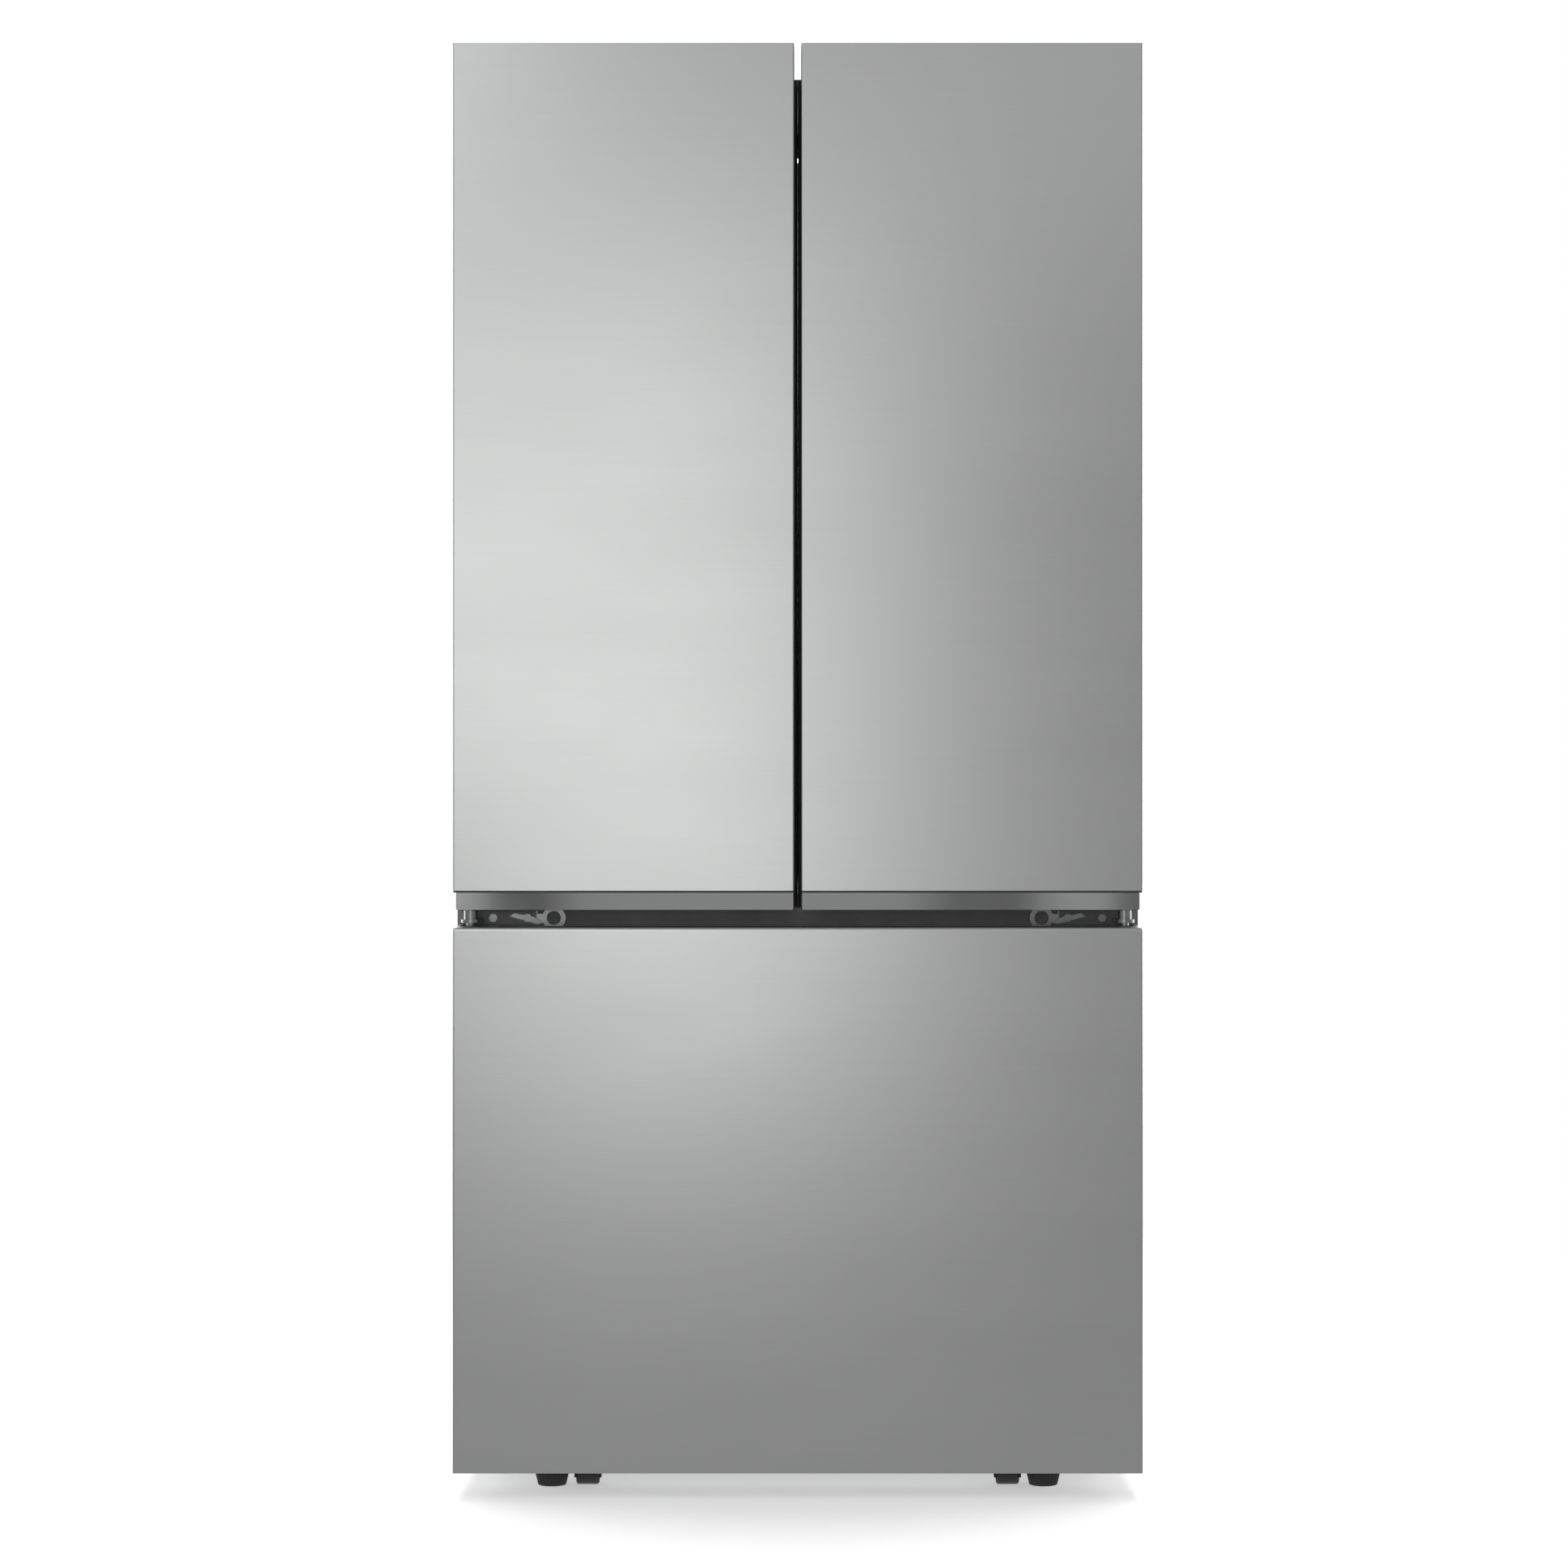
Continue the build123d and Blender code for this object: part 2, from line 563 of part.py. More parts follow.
def mid_hinges():
    """Bracket on the rail between doors and drawer: arm, pin and collar, lever and eye."""
    y = (MID_PLATE_FRONT, CASE_FRONT)
    plate = block((-413, -318), y, (690, 706.5))
    arm = block((-PIN_X - 12, -PIN_X + 12), (PIN_Y, MID_PLATE_FRONT), (694, 698))
    arm += rod_z(-PIN_X, PIN_Y, (694, 698), 12)
    pin = rod_z(-PIN_X, PIN_Y, (690.5, 730), PIN_RADIUS)
    collar = rod_z(-PIN_X, PIN_Y, (698, 709), 8.5)
    eye_y = (CASE_FRONT - 4.5, CASE_FRONT)
    eye = rod_y(-EYE_X, eye_y, EYE_Z, EYE_OUTER) - rod_y(-EYE_X, eye_y, EYE_Z, EYE_BORE)
    neck = block((-319, -EYE_X - 11), y, (EYE_Z - 6, EYE_Z + 5))
    lever = [(-352, 700), (-346, 704), (-322, 699), (-311, 692), (-318, 690), (-330, 694)]
    outline = make_face(Polyline(*lever, close=True).edges())
    lever = extrude(Plane.XZ.offset(-MID_PLATE_FRONT) * outline, amount=3)
    hinge = plate + arm + pin + collar + eye + neck + lever
    return both_sides(cut(hinge, HINGE_SCREWS))


# ---------------------------------------------------------------- fridge interior
SHELF_TRIM = (SHELF_FRONT, SHELF_FRONT + 15)
COVER_BACK = 288.0
TRACK_Y, TRACK_Z = (300.0, CAVITY_REAR), (1000.0, 1640.0)


def half_shelf_x(side):
    return (side * 8.0, side * SHELF_EDGE)


def glass_shelves():
    """Two pairs of half-width panes, and one full-width pane over the drawers."""
    cover_z = (COVER_HEIGHT, COVER_HEIGHT + GLASS)
    panes = [block((-350, 350), (SHELF_TRIM[1], COVER_BACK), cover_z)]
    for height in SHELF_HEIGHTS:
        for side in (-1, 1):
            pane_y = (SHELF_TRIM[1], SHELF_BACK)
            panes.append(block(half_shelf_x(side), pane_y, (height, height + GLASS)))
    return panes


def shelf_bracket(x, height):
    front, back = SHELF_TRIM[1], TRACK_Y[0]
    outline = [(back, height), (front, height), (front, height - 8), (back, height - 42)]
    return side_profile(outline, (x - 1.5, x + 1.5))


def shelf_frames():
    """Brackets hung on the rear tracks, edge trims round the glass, and the drawer divider."""
    pieces = []
    for side in (-1, 1):
        for track in TRACK_X:
            pieces.append(block((side * (track - 6), side * (track + 6)), TRACK_Y, TRACK_Z))
        for height in SHELF_HEIGHTS:
            rear_y = (SHELF_BACK, SHELF_BACK + 12)
            pieces.append(block(half_shelf_x(side), SHELF_TRIM, (height - 8, height + 8)))
            pieces.append(block(half_shelf_x(side), rear_y, (height, height + 12)))
            pieces += [shelf_bracket(side * track, height) for track in TRACK_X]
    cover_z = (COVER_HEIGHT - 6, COVER_HEIGHT + 6)
    pieces.append(block((-359, 359), SHELF_TRIM, cover_z))
    pieces.append(block((-359, 359), (COVER_BACK, COVER_BACK + 12), cover_z))
    pieces += both_sides(block((-359, -350), (SHELF_TRIM[1], COVER_BACK), cover_z))
    pieces.append(block((-5, 5), (-105, COVER_BACK), (FRIDGE_FLOOR, COVER_HEIGHT)))
    return pieces


VENT_CENTRE = 180.0


def crisper_x(side):
    return (side * 9.0, side * 351.0)


def vent_x(side, step):
    middle = side * VENT_CENTRE + (step - 1.5) * 26.0
    return (middle - 9, middle + 9)


def crisper(side):
    """Open drawer with a pull lip and four vents behind its slider."""
    y, z = (CRISPER_FRONT, CRISPER_REAR), (FRIDGE_FLOOR + 1, CRISPER_TOP)
    box = block(crisper_x(side), y, z)
    inner_x = (side * 12.0, side * 348.0)
    box -= block(inner_x, (y[0] + 3, y[1] - 3), (z[0] + 3, z[1]))
    box += block((side * 80, side * 320), (CRISPER_FRONT - 6, CRISPER_FRONT), (850, 858))
    box += block((side * 80, side * 320), (CRISPER_FRONT - 6, CRISPER_FRONT - 3), (835, 850))
    for step in range(4):
        box -= block(vent_x(side, step), (y[0], y[0] + 3), (906, 914))
    return [box]


def humidity_slider(side):
    """Saddle clip that slides along the drawer's front edge over the vents."""
    middle = side * VENT_CENTRE - 20.0
    x = (middle - 35, middle + 35)
    clip = block(x, (CRISPER_FRONT - 3, CRISPER_FRONT + 6), (902, CRISPER_TOP + 4))
    clip -= block(x, (CRISPER_FRONT - 0.4, CRISPER_FRONT + 3.4), (902, CRISPER_TOP + 0.4))
    clip += block((middle - 8, middle + 8), (CRISPER_FRONT - 6, CRISPER_FRONT - 3), (904, 924))
    return [clip]


def control_panel():
    """Touch console under the fridge ceiling."""
    body = block((-130, 130), (-212, -130), (1650, FRIDGE_CEILING))
    body = chamfer(body.edges().group_by(Axis.Z)[0], 4)
    for step in range(5):
        x = -80 + 40 * step
        body -= block((x - 12, x + 12), (-196, -172), (1650, 1650.8))
    return [body]


def ceiling_light():
    """Diffuser over the lamp strip."""
    lens = block((-110, 110), (-118, -40), (1658, FRIDGE_CEILING))
    return [chamfer(lens.edges().group_by(Axis.Z)[0], 3)]


# ---------------------------------------------------------------- doors
def folded_skin(x, z):
    """Stainless front sheet with a rounded fold down each side."""
    outer = block(x, (FRONT, DOOR_BACK - 2), z)
    outer = fillet(outer.edges().filter_by(Axis.Z).group_by(Axis.Y)[0], 2)
    inner = block((x[0] + SKIN, x[1] - SKIN), (FRONT + SKIN, DOOR_BACK - 2), z)
    inner = fillet(inner.edges().filter_by(Axis.Z).group_by(Axis.Y)[0], 1.2)
    return outer - inner


DOOR_X = (-HALF, -DOOR_INNER)  # the left door; the right door mirrors it
FILL_X = (-HALF + SKIN, -DOOR_INNER - SKIN)
FILL_FRONT = FRONT + SKIN
FILL_BACK = DOOR_BACK - 2
BLOCK_X = (-HALF + 3, -DOOR_INNER - 1.3)
CAP_Z = (TRIM_BOTTOM + 1.2, 745.0)
TOP_CAP_BOTTOM, CORNER_BOTTOM = 1741.0, 1705.0
CORNER_X = -HALF + CAP_CORNER


def hinge_recess():
    return block((-HALF - 1, -NOTCH_X), (FRONT + 2.5, DOOR_BACK), (NOTCH_Z, HEIGHT))


def door_skin():
    return folded_skin(DOOR_X, (DOOR_BOTTOM, HEIGHT)) - hinge_recess()


def rounded_fill(z, front=FILL_FRONT):
    """A block that fills the skin, its front edges rounded to match the fold."""
    fill = block(FILL_X, (front, FILL_BACK), z)
    return fillet(fill.edges().filter_by(Axis.Z).group_by(Axis.Y)[0], 1.2)


def top_cap():
    cap = rounded_fill((CORNER_BOTTOM, HEIGHT))
    cap -= block((CORNER_X, 0), (FRONT, DOOR_BACK), (CORNER_BOTTOM, TOP_CAP_BOTTOM))
    cap -= hinge_recess()
    return cap - rod_z(-PIN_X, PIN_Y, (1710, HEIGHT), PIN_RADIUS + RUNNING)


def bottom_cap():
    """Closes the door below; its ends and rear wall frame the finger pocket."""
    cap = rounded_fill((731, CAP_Z[1]))
    cap += block(BLOCK_X, (-322, FILL_BACK), (CAP_Z[0], 731))
    cap += block((BLOCK_X[0], -380), (-353, -322), (CAP_Z[0], 731))
    cap += block((-26, BLOCK_X[1]), (-353, -322), (CAP_Z[0], 731))
    return cap - rod_z(-PIN_X, PIN_Y, (CAP_Z[0], 734), PIN_RADIUS + RUNNING)


def door_core():
    core = rounded_fill((CAP_Z[1], TOP_CAP_BOTTOM))
    return core - block((-HALF, CORNER_X), (FRONT, DOOR_BACK), (CORNER_BOTTOM, TOP_CAP_BOTTOM))


def door_liner():
    """Formed plastic back with a raised rib frame that carries the bins."""
    liner = block((-HALF + 2, -DOOR_INNER - 2), (FILL_BACK, DOOR_BACK), (CAP_Z[0], HEIGHT - 2))
    liner -= block((-HALF, -NOTCH_X), (FILL_BACK, DOOR_BACK), (NOTCH_Z, HEIGHT))
    rib_y = (DOOR_BACK, DOOR_BACK + RIB_DEPTH)
    return liner + ring((-RIB_OUTER, -RIB_INNER), (RIB_BOTTOM, RIB_TOP), RIB_WIDTH, rib_y)


def door_gasket():
    """Magnetic seal round the door's back, with a soft fin that reaches the door's middle gap."""
    y = (DOOR_BACK, DOOR_BACK + GASKET_DEPTH)
    seal = ring((-GASKET_OUTER, -GASKET_INNER), (714, 1712), GASKET_WIDTH, y)
    fin_x = (-GASKET_INNER - 4, -LIP_INNER)
    return seal + block(fin_x, (DOOR_BACK, DOOR_BACK + LIP_THICK), (CAP_Z[0], LIP_TOP))


def handle_trim():
    """Satin strip across the bottom of the door, with a flange over the finger pocket."""
    strip = block(BLOCK_X, (-356, -353), (TRIM_BOTTOM, 730.4))
    lower_corners = strip.edges().filter_by(Axis.Y).group_by(Axis.Z)[0]
    strip = fillet(lower_corners, 1.5)
    return strip + block((-379, -27), (-353, -341), (728.4, 730.4))


def bin_shell(z, height):
    """Open door bin held between the ribs."""
    x = (-RIB_OUTER + RIB_WIDTH, -RIB_INNER - RIB_WIDTH)
    y = (DOOR_BACK, DOOR_BACK + BIN_DEPTH)
    body = block(x, y, (z, z + height))
    body = fillet(body.edges().filter_by(Axis.Z).group_by(Axis.Y)[-1], 8)
    inner_x = (x[0] + BIN_WALL, x[1] - BIN_WALL)
    inner_y = (y[0] + BIN_WALL, y[1] - BIN_WALL)
    hollow = block(inner_x, inner_y, (z + BIN_WALL, z + height))
    hollow = fillet(hollow.edges().filter_by(Axis.Z).group_by(Axis.Y)[-1], 5.5)
    return body - hollow


def left_bins():
    """Three bins; the top one has ears that carry the dairy lid."""
    bins = [bin_shell(*place) for place in LEFT_BINS]
    x = (-RIB_OUTER + RIB_WIDTH, -RIB_INNER - RIB_WIDTH)
    top = sum(LEFT_BINS[-1])
    for edge in ((x[0], x[0] + BIN_WALL), (x[1] - BIN_WALL, x[1])):
        ear = block(edge, (DOOR_BACK, LID_Y + 8), (top, LID_Z + 6))
        bins[-1] += ear
    bins[-1] -= rod_x(x, LID_Y, LID_Z, LID_AXLE + RUNNING)
    return bins


def dairy_lid():
    """Flip-up cover: a roof plate and a front apron on two stub axles."""
    x = (-RIB_OUTER + RIB_WIDTH + 3, -RIB_INNER - RIB_WIDTH - 3)
    lid = block(x, (LID_Y, DOOR_BACK + BIN_DEPTH + 3), (LID_Z - 1.5, LID_Z + 1.5))
    lid += block(x, (DOOR_BACK + BIN_DEPTH + 0.5, DOOR_BACK + BIN_DEPTH + 3), (1480, LID_Z))
    lid += rod_x(x, LID_Y, LID_Z, 4)
    lid += rod_x((x[0] - 2.9, x[1] + 2.9), LID_Y, LID_Z, LID_AXLE)
    return [lid]


def flip_brackets():
    """Lugs on the left door's back that carry the flipper bar, each with its pin."""
    lugs = []
    for low, high, pin in ((748, 751.5, (751.5, 764)), (1660.5, 1664, (1648, 1660.5))):
        lug = block((FLIP_X - 7, FLIP_X + 6), (DOOR_BACK, FLIP_Y + 6), (low, high))
        lugs.append(lug + rod_z(FLIP_X, FLIP_Y, pin, FLIP_PIN))
    return lugs


def flip_mullion():
    """Bar that closes the gap between the doors, stored folded behind the left door."""
    half = FLIP_THICK / 2
    y = (FLIP_Y - half, FLIP_Y - half + FLIP_LENGTH)
    bar = block((FLIP_X - half, FLIP_X + half), y, (752, 1660))
    bar = fillet(bar.edges().filter_by(Axis.Z), 2)
    for bore_z in ((752, 765), (1647, 1660)):
        bar -= rod_z(FLIP_X, FLIP_Y, bore_z, FLIP_PIN + RUNNING)
    return [bar]


def save_doors():
    """Write every fixed door part, the right door mirrored from the left."""
    left = {
        "door_skin": [door_skin()],
        "door_core": [door_core()],
        "door_caps": [top_cap(), bottom_cap()],
        "door_gasket": [door_gasket()],
        "handle_trim": [handle_trim()],
    }
    for part, solids in left.items():
        save(f"left_{part}", solids)
        save(f"right_{part}", mirrored(solids))
    liner = door_liner()
    save("right_door_liner", mirrored([liner]))
    for lug in flip_brackets():
        liner += lug
    save("left_door_liner", [liner])
    save("left_door_bins", left_bins())
    save("right_door_bins", mirrored([bin_shell(*place) for place in RIGHT_BINS]))


# ---------------------------------------------------------------- freezer drawer
DRAWER_ROUND = 5.0  # rounding of the drawer's top edges
CAP_TOP = 681.0
CORE_BOTTOM, CORE_TOP = 45.0, 640.0
DRAWER_FILL = FILL_FRONT + 1.2  # front of the moulding and insulation inside the skin


def drawer_outline(grow):
    """The drawer front as a solid, its top edges rounded, shrunk by a skin thickness."""
    body = block(
        (-HALF + grow, HALF - grow),
        (FRONT + grow, FILL_BACK),
        (DRAWER_BOTTOM + grow, DRAWER_TOP - grow),
    )
    uprights = body.edges().filter_by(Axis.Z).group_by(Axis.Y)[0]
    body = fillet(uprights, 2 - grow)
    top = body.faces().sort_by(Axis.Z)[-1]
    rear = top.edges().group_by(Axis.Y)[-1]
    rim = [edge for edge in top.edges() if edge not in rear]
    return fillet(rim, DRAWER_ROUND - grow)


def drawer_skin():
    """Stainless front with a rolled top lip in front of the finger pocket."""
    skin = drawer_outline(0) - drawer_outline(SKIN)
    open_x, open_y = (-HALF + 8, HALF - 8), (FRONT + 18, FILL_BACK)
    skin -= block(open_x, open_y, (CAP_TOP - 2, DRAWER_TOP))
    return [skin - block(open_x, open_y, (DRAWER_BOTTOM, DRAWER_BOTTOM + 2))]


def drawer_caps():
    """Top moulding with the finger pocket, and the bottom closing strip."""
    x = (-HALF + SKIN, HALF - SKIN)
    moulding = block(x, (DRAWER_FILL, -360), (CORE_TOP, 684))
    moulding += block(x, (-360, -322), (CORE_TOP, 648))
    moulding += block(x, (-322, FILL_BACK), (CORE_TOP, CAP_TOP))
    for side in (-1, 1):
        moulding += block((side * (HALF - SKIN), side * 392), (-360, -322), (648, CAP_TOP))
    strip_z = (DRAWER_BOTTOM + 1.5, CORE_BOTTOM)
    return [moulding, block((-HALF + 3, HALF - 3), (DRAWER_FILL, FILL_BACK), strip_z)]


def drawer_core():
    return [block((-HALF + SKIN, HALF - SKIN), (DRAWER_FILL, FILL_BACK), (CORE_BOTTOM, CORE_TOP))]


def drawer_liner():
    plate = block((-HALF + 2, HALF - 2), (FILL_BACK, DOOR_BACK), (34, CAP_TOP - 2))
    return [plate + ring((-336, 336), (118, 650), 18, (DOOR_BACK, DOOR_BACK + 16))]


def drawer_gasket():
    y = (DOOR_BACK, DOOR_BACK + GASKET_DEPTH)
    return [ring((-GASKET_OUTER, GASKET_OUTER), (78, 676), GASKET_WIDTH, y)]


def drawer_frame():
    """Side arms that carry the basket, each on the inner bar of its slide."""
    arm = block((-ARM_X - 4, -ARM_X), (DOOR_BACK, 110), (250, BASKET_REST))
    arm += block((-ARM_X - 4, -ARM_X + 4), (DOOR_BACK, DOOR_BACK + 3), (235, 345))
    bar_z = (SLIDE_Z - SLIDE_HALF, SLIDE_Z + SLIDE_HALF)
    bar = block((-ARM_X - 14, -ARM_X - 4), (DOOR_BACK + 4, 110), bar_z)
    return both_sides(arm, bar)


def channel(web_x, lip_x, half_height, thickness, y):
    """A slide member: a web with a lip along its top and bottom, open towards the basket."""
    web = block((-web_x, -web_x + thickness), y, (SLIDE_Z - half_height, SLIDE_Z + half_height))
    for side in (-1, 1):
        edge = SLIDE_Z + side * half_height
        web += block((-web_x, -lip_x), y, (edge, edge - side * thickness))
    return web


def freezer_rails():
    return both_sides(channel(INSIDE, 351, 18, 1.5, (-285, 200)))


def slide_intermediates():
    return both_sides(channel(INSIDE - 2.5, 350.5, 15.5, 1.5, (-282, 180)))


def freezer_basket():
    """Deep tub with slotted walls and a flange each side that rests on the arms."""
    x, y, z = (-BASKET_X, BASKET_X), (BASKET_FRONT, BASKET_REAR), (BASKET_BOTTOM, BASKET_TOP)
    tub = block(x, y, z)
    tub -= block((x[0] + 3, x[1] - 3), (y[0] + 3, y[1] - 3), (z[0] + 3, z[1]))
    flange_z = (BASKET_REST, BASKET_REST + 3)
    for side in (-1, 1):
        tub += block((side * BASKET_X, side * (ARM_X + 4)), (y[0], 105), flange_z)
    for column in range(9):
        slot_x = -240 + 60 * column
        for low in (180, 250):
            tub -= block((slot_x - 20, slot_x + 20), y, (low, low + 40))
    return [tub]


def freezer_tray():
    """Shallow tray whose rims rest on the basket's side walls."""
    y, z = (BASKET_FRONT + 4, -10), (352, BASKET_TOP + 0.3)
    tray = block((-322, 322), y, z)
    for side in (-1, 1):
        tray += block((side * 322, side * 330), y, (BASKET_TOP + 0.3, BASKET_TOP + 3.3))
    tray += block((-322, 322), y, (z[1], z[1] + 3))
    hollow = block((-319.5, 319.5), (y[0] + 2.5, y[1] - 2.5), (z[0] + 2.5, z[1] + 3))
    return [tray - hollow]


# ---------------------------------------------------------------- write
def main():
    save("cabinet_shell", cabinet_shell())
    save("cabinet_foam", cabinet_foam())
    save("fridge_liner", fridge_liner())
    save("freezer_liner", freezer_liner())
    save("mullion_rail", mullion_rail())
    save("back_panel", back_panel())
    save("rear_cover", rear_cover())
    save("cord_gland", cord_gland())
    save("base_frame", base_frame())
    save("roller_brackets", roller_brackets())
    save("front_rollers", wheel_pair(FRONT_WHEEL))
    save("rear_rollers", wheel_pair(REAR_WHEEL))
    save("left_foot", foot(-FOOT_X))
    save("right_foot", foot(FOOT_X))
    save("fasteners", HINGE_SCREWS + COVER_SCREWS)
    save("compressor", compressor())
    save("compressor_grommets", compressor_grommets())
    save("condenser", condenser())
    save("condenser_fan", condenser_fan())
    save("drain_pan", drain_pan())
    save("evaporator", evaporator())
    save("evaporator_fan", evaporator_fan())
    save("air_duct_covers", air_duct_covers())
    save("top_hinges", top_hinges())
    save("hinge_covers", hinge_covers())
    save("mid_hinges", mid_hinges())
    save("glass_shelves", glass_shelves())
    save("shelf_frames", shelf_frames())
    save("left_crisper", crisper(-1))
    save("right_crisper", crisper(1))
    save("left_humidity_slider", humidity_slider(-1))
    save("right_humidity_slider", humidity_slider(1))
    save("control_panel", control_panel())
    save("ceiling_light", ceiling_light())
    save_doors()
    save("dairy_lid", dairy_lid())
    save("flip_mullion", flip_mullion())
    save("freezer_drawer_skin", drawer_skin())
    save("freezer_drawer_core", drawer_core())
    save("freezer_drawer_caps", drawer_caps())
    save("freezer_drawer_liner", drawer_liner())
    save("freezer_drawer_gasket", drawer_gasket())
    save("freezer_drawer_frame", drawer_frame())
    save("freezer_rails", freezer_rails())
    save("slide_intermediates", slide_intermediates())
    save("freezer_basket", freezer_basket())
    save("freezer_tray", freezer_tray())


main()
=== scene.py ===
import json
import math

import bmesh
import bpy
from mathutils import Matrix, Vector


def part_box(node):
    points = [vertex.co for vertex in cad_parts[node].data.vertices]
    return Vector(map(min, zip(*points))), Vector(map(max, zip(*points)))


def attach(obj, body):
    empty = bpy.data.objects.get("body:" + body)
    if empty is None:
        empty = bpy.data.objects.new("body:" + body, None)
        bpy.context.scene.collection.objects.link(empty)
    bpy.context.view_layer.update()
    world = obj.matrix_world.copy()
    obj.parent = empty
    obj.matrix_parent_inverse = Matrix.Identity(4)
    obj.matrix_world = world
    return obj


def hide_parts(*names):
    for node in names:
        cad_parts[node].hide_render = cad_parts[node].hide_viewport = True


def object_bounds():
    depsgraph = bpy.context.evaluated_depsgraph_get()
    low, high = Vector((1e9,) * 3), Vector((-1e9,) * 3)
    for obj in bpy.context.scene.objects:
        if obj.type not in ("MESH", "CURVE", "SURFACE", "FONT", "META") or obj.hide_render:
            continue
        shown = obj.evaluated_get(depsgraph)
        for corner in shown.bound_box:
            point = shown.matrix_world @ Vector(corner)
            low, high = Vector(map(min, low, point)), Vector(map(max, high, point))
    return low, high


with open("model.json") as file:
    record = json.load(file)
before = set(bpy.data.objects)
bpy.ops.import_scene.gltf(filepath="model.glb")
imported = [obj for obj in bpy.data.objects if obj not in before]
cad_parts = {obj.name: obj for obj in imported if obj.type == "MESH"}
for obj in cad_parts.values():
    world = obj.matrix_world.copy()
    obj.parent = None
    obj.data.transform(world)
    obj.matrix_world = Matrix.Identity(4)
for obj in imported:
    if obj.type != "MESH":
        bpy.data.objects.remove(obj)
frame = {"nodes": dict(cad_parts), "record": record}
CAD_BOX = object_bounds()
NODES = frame["nodes"]
MM = 0.001
SIDES = (("left", -1), ("right", 1))

# ------------------------------------------------------------------ places read from the frame
BODY_LOW, BODY_HIGH = CAD_BOX
FRONT_Y = BODY_LOW.y
CENTRE_X = (BODY_LOW.x + BODY_HIGH.x) / 2


# ------------------------------------------------------------------ materials
class Finish:
    """One material: a Principled shader and short calls for the nodes that feed it."""

    def __init__(self, name, color, rough, metal=0.0, **sockets):
        self.material = bpy.data.materials.new(name)
        self.material.use_nodes = True
        self.tree = self.material.node_tree
        self.shader = self.tree.nodes["Principled BSDF"]
        self.shader.inputs["Base Color"].default_value = (*color, 1)
        self.shader.inputs["Roughness"].default_value = rough
        self.shader.inputs["Metallic"].default_value = metal
        for socket, value in sockets.items():
            self.shader.inputs[socket.replace("_", " ")].default_value = value
        self.color, self.rough = color, rough
        self.place = self.tree.nodes.new("ShaderNodeTexCoord").outputs["Object"]
        self.bumped = None

    def wire(self, source, target):
        """Link one node's output to another's input."""
        self.tree.links.new(source, target)

    def stretched(self, stretch):
        """Object coordinates in metres, multiplied per axis."""
        node = self.tree.nodes.new("ShaderNodeMapping")
        node.inputs["Scale"].default_value = stretch
        self.wire(self.place, node.inputs["Vector"])
        return node.outputs["Vector"]

    def noise(self, scale, stretch=(1, 1, 1), detail=2.0, roughness=0.5):
        """Soft noise, scale features to the metre."""
        node = self.tree.nodes.new("ShaderNodeTexNoise")
        node.inputs["Scale"].default_value = scale
        node.inputs["Detail"].default_value = detail
        node.inputs["Roughness"].default_value = roughness
        self.wire(self.stretched(stretch), node.inputs["Vector"])
        return node.outputs["Fac"]

    def cells(self, scale, feature="F1"):
        """Cells, scale of them to the metre: each with its own value, or by distance if smooth."""
        node = self.tree.nodes.new("ShaderNodeTexVoronoi")
        node.feature = feature
        node.inputs["Scale"].default_value = scale
        self.wire(self.stretched((1, 1, 1)), node.inputs["Vector"])
        return node.outputs["Color" if feature == "F1" else "Distance"]

    def remap(self, value, low, high, source=(0.3, 0.7)):
        """A value's source range, by default the middle of a noise, stretched to low and high."""
        node = self.tree.nodes.new("ShaderNodeMapRange")
        node.inputs["From Min"].default_value = source[0]
        node.inputs["From Max"].default_value = source[1]
        node.inputs["To Min"].default_value = low
        node.inputs["To Max"].default_value = high
        self.wire(value, node.inputs["Value"])
        return node.outputs["Result"]

    def tint(self, factor, other, amount=1.0):
        """Base colour that varies from the material's own colour towards another."""
        node = self.tree.nodes.new("ShaderNodeMix")
        node.data_type = "RGBA"
        node.inputs["A"].default_value = (*self.color, 1)
        node.inputs["B"].default_value = (*other, 1)
        self.wire(self.remap(factor, 0.0, amount), node.inputs["Factor"])
        self.wire(node.outputs["Result"], self.shader.inputs["Base Color"])
        return self

    def vary_roughness(self, factor, spread):
        """Roughness that varies by the spread to either side of the material's own."""
        result = self.remap(factor, self.rough - spread, self.rough + spread)
        self.wire(result, self.shader.inputs["Roughness"])
        return self

    def bump(self, height, strength, distance):
        """Relief of the given depth in metres, laid over any bump made before."""
        node = self.tree.nodes.new("ShaderNodeBump")
        node.inputs["Strength"].default_value = strength
        node.inputs["Distance"].default_value = distance
        self.wire(height, node.inputs["Height"])
        if self.bumped:
            self.wire(self.bumped, node.inputs["Normal"])
        self.bumped = node.outputs["Normal"]
        self.wire(self.bumped, self.shader.inputs["Normal"])
        return self


def stainless():
    """Fine horizontal brushing, with faint uneven bands left by the sheet's rolling."""
    look = Finish("stainless", (0.62, 0.632, 0.624), 0.30, 1.0)
    brush = look.noise(1.0, (6, 6, 5200), 3.0, 0.7)
    look.bump(brush, 0.05, 0.00004)
    look.tint(look.noise(1.0, (9, 9, 1900), 2.0), (0.575, 0.587, 0.58), 0.5)
    look.vary_roughness(look.noise(3.0, (1, 1, 3), 3.0), 0.012)
    return look.material


def trim_metal():
    """Satin anodised aluminium, brushed lengthwise."""
    look = Finish("trim_metal", (0.2, 0.204, 0.202), 0.1, 1.0)
    look.bump(look.noise(1.0, (8, 8, 6500), 2.0, 0.6), 0.06, 0.00003)
    look.vary_roughness(look.noise(14.0), 0.02)
    return look.material


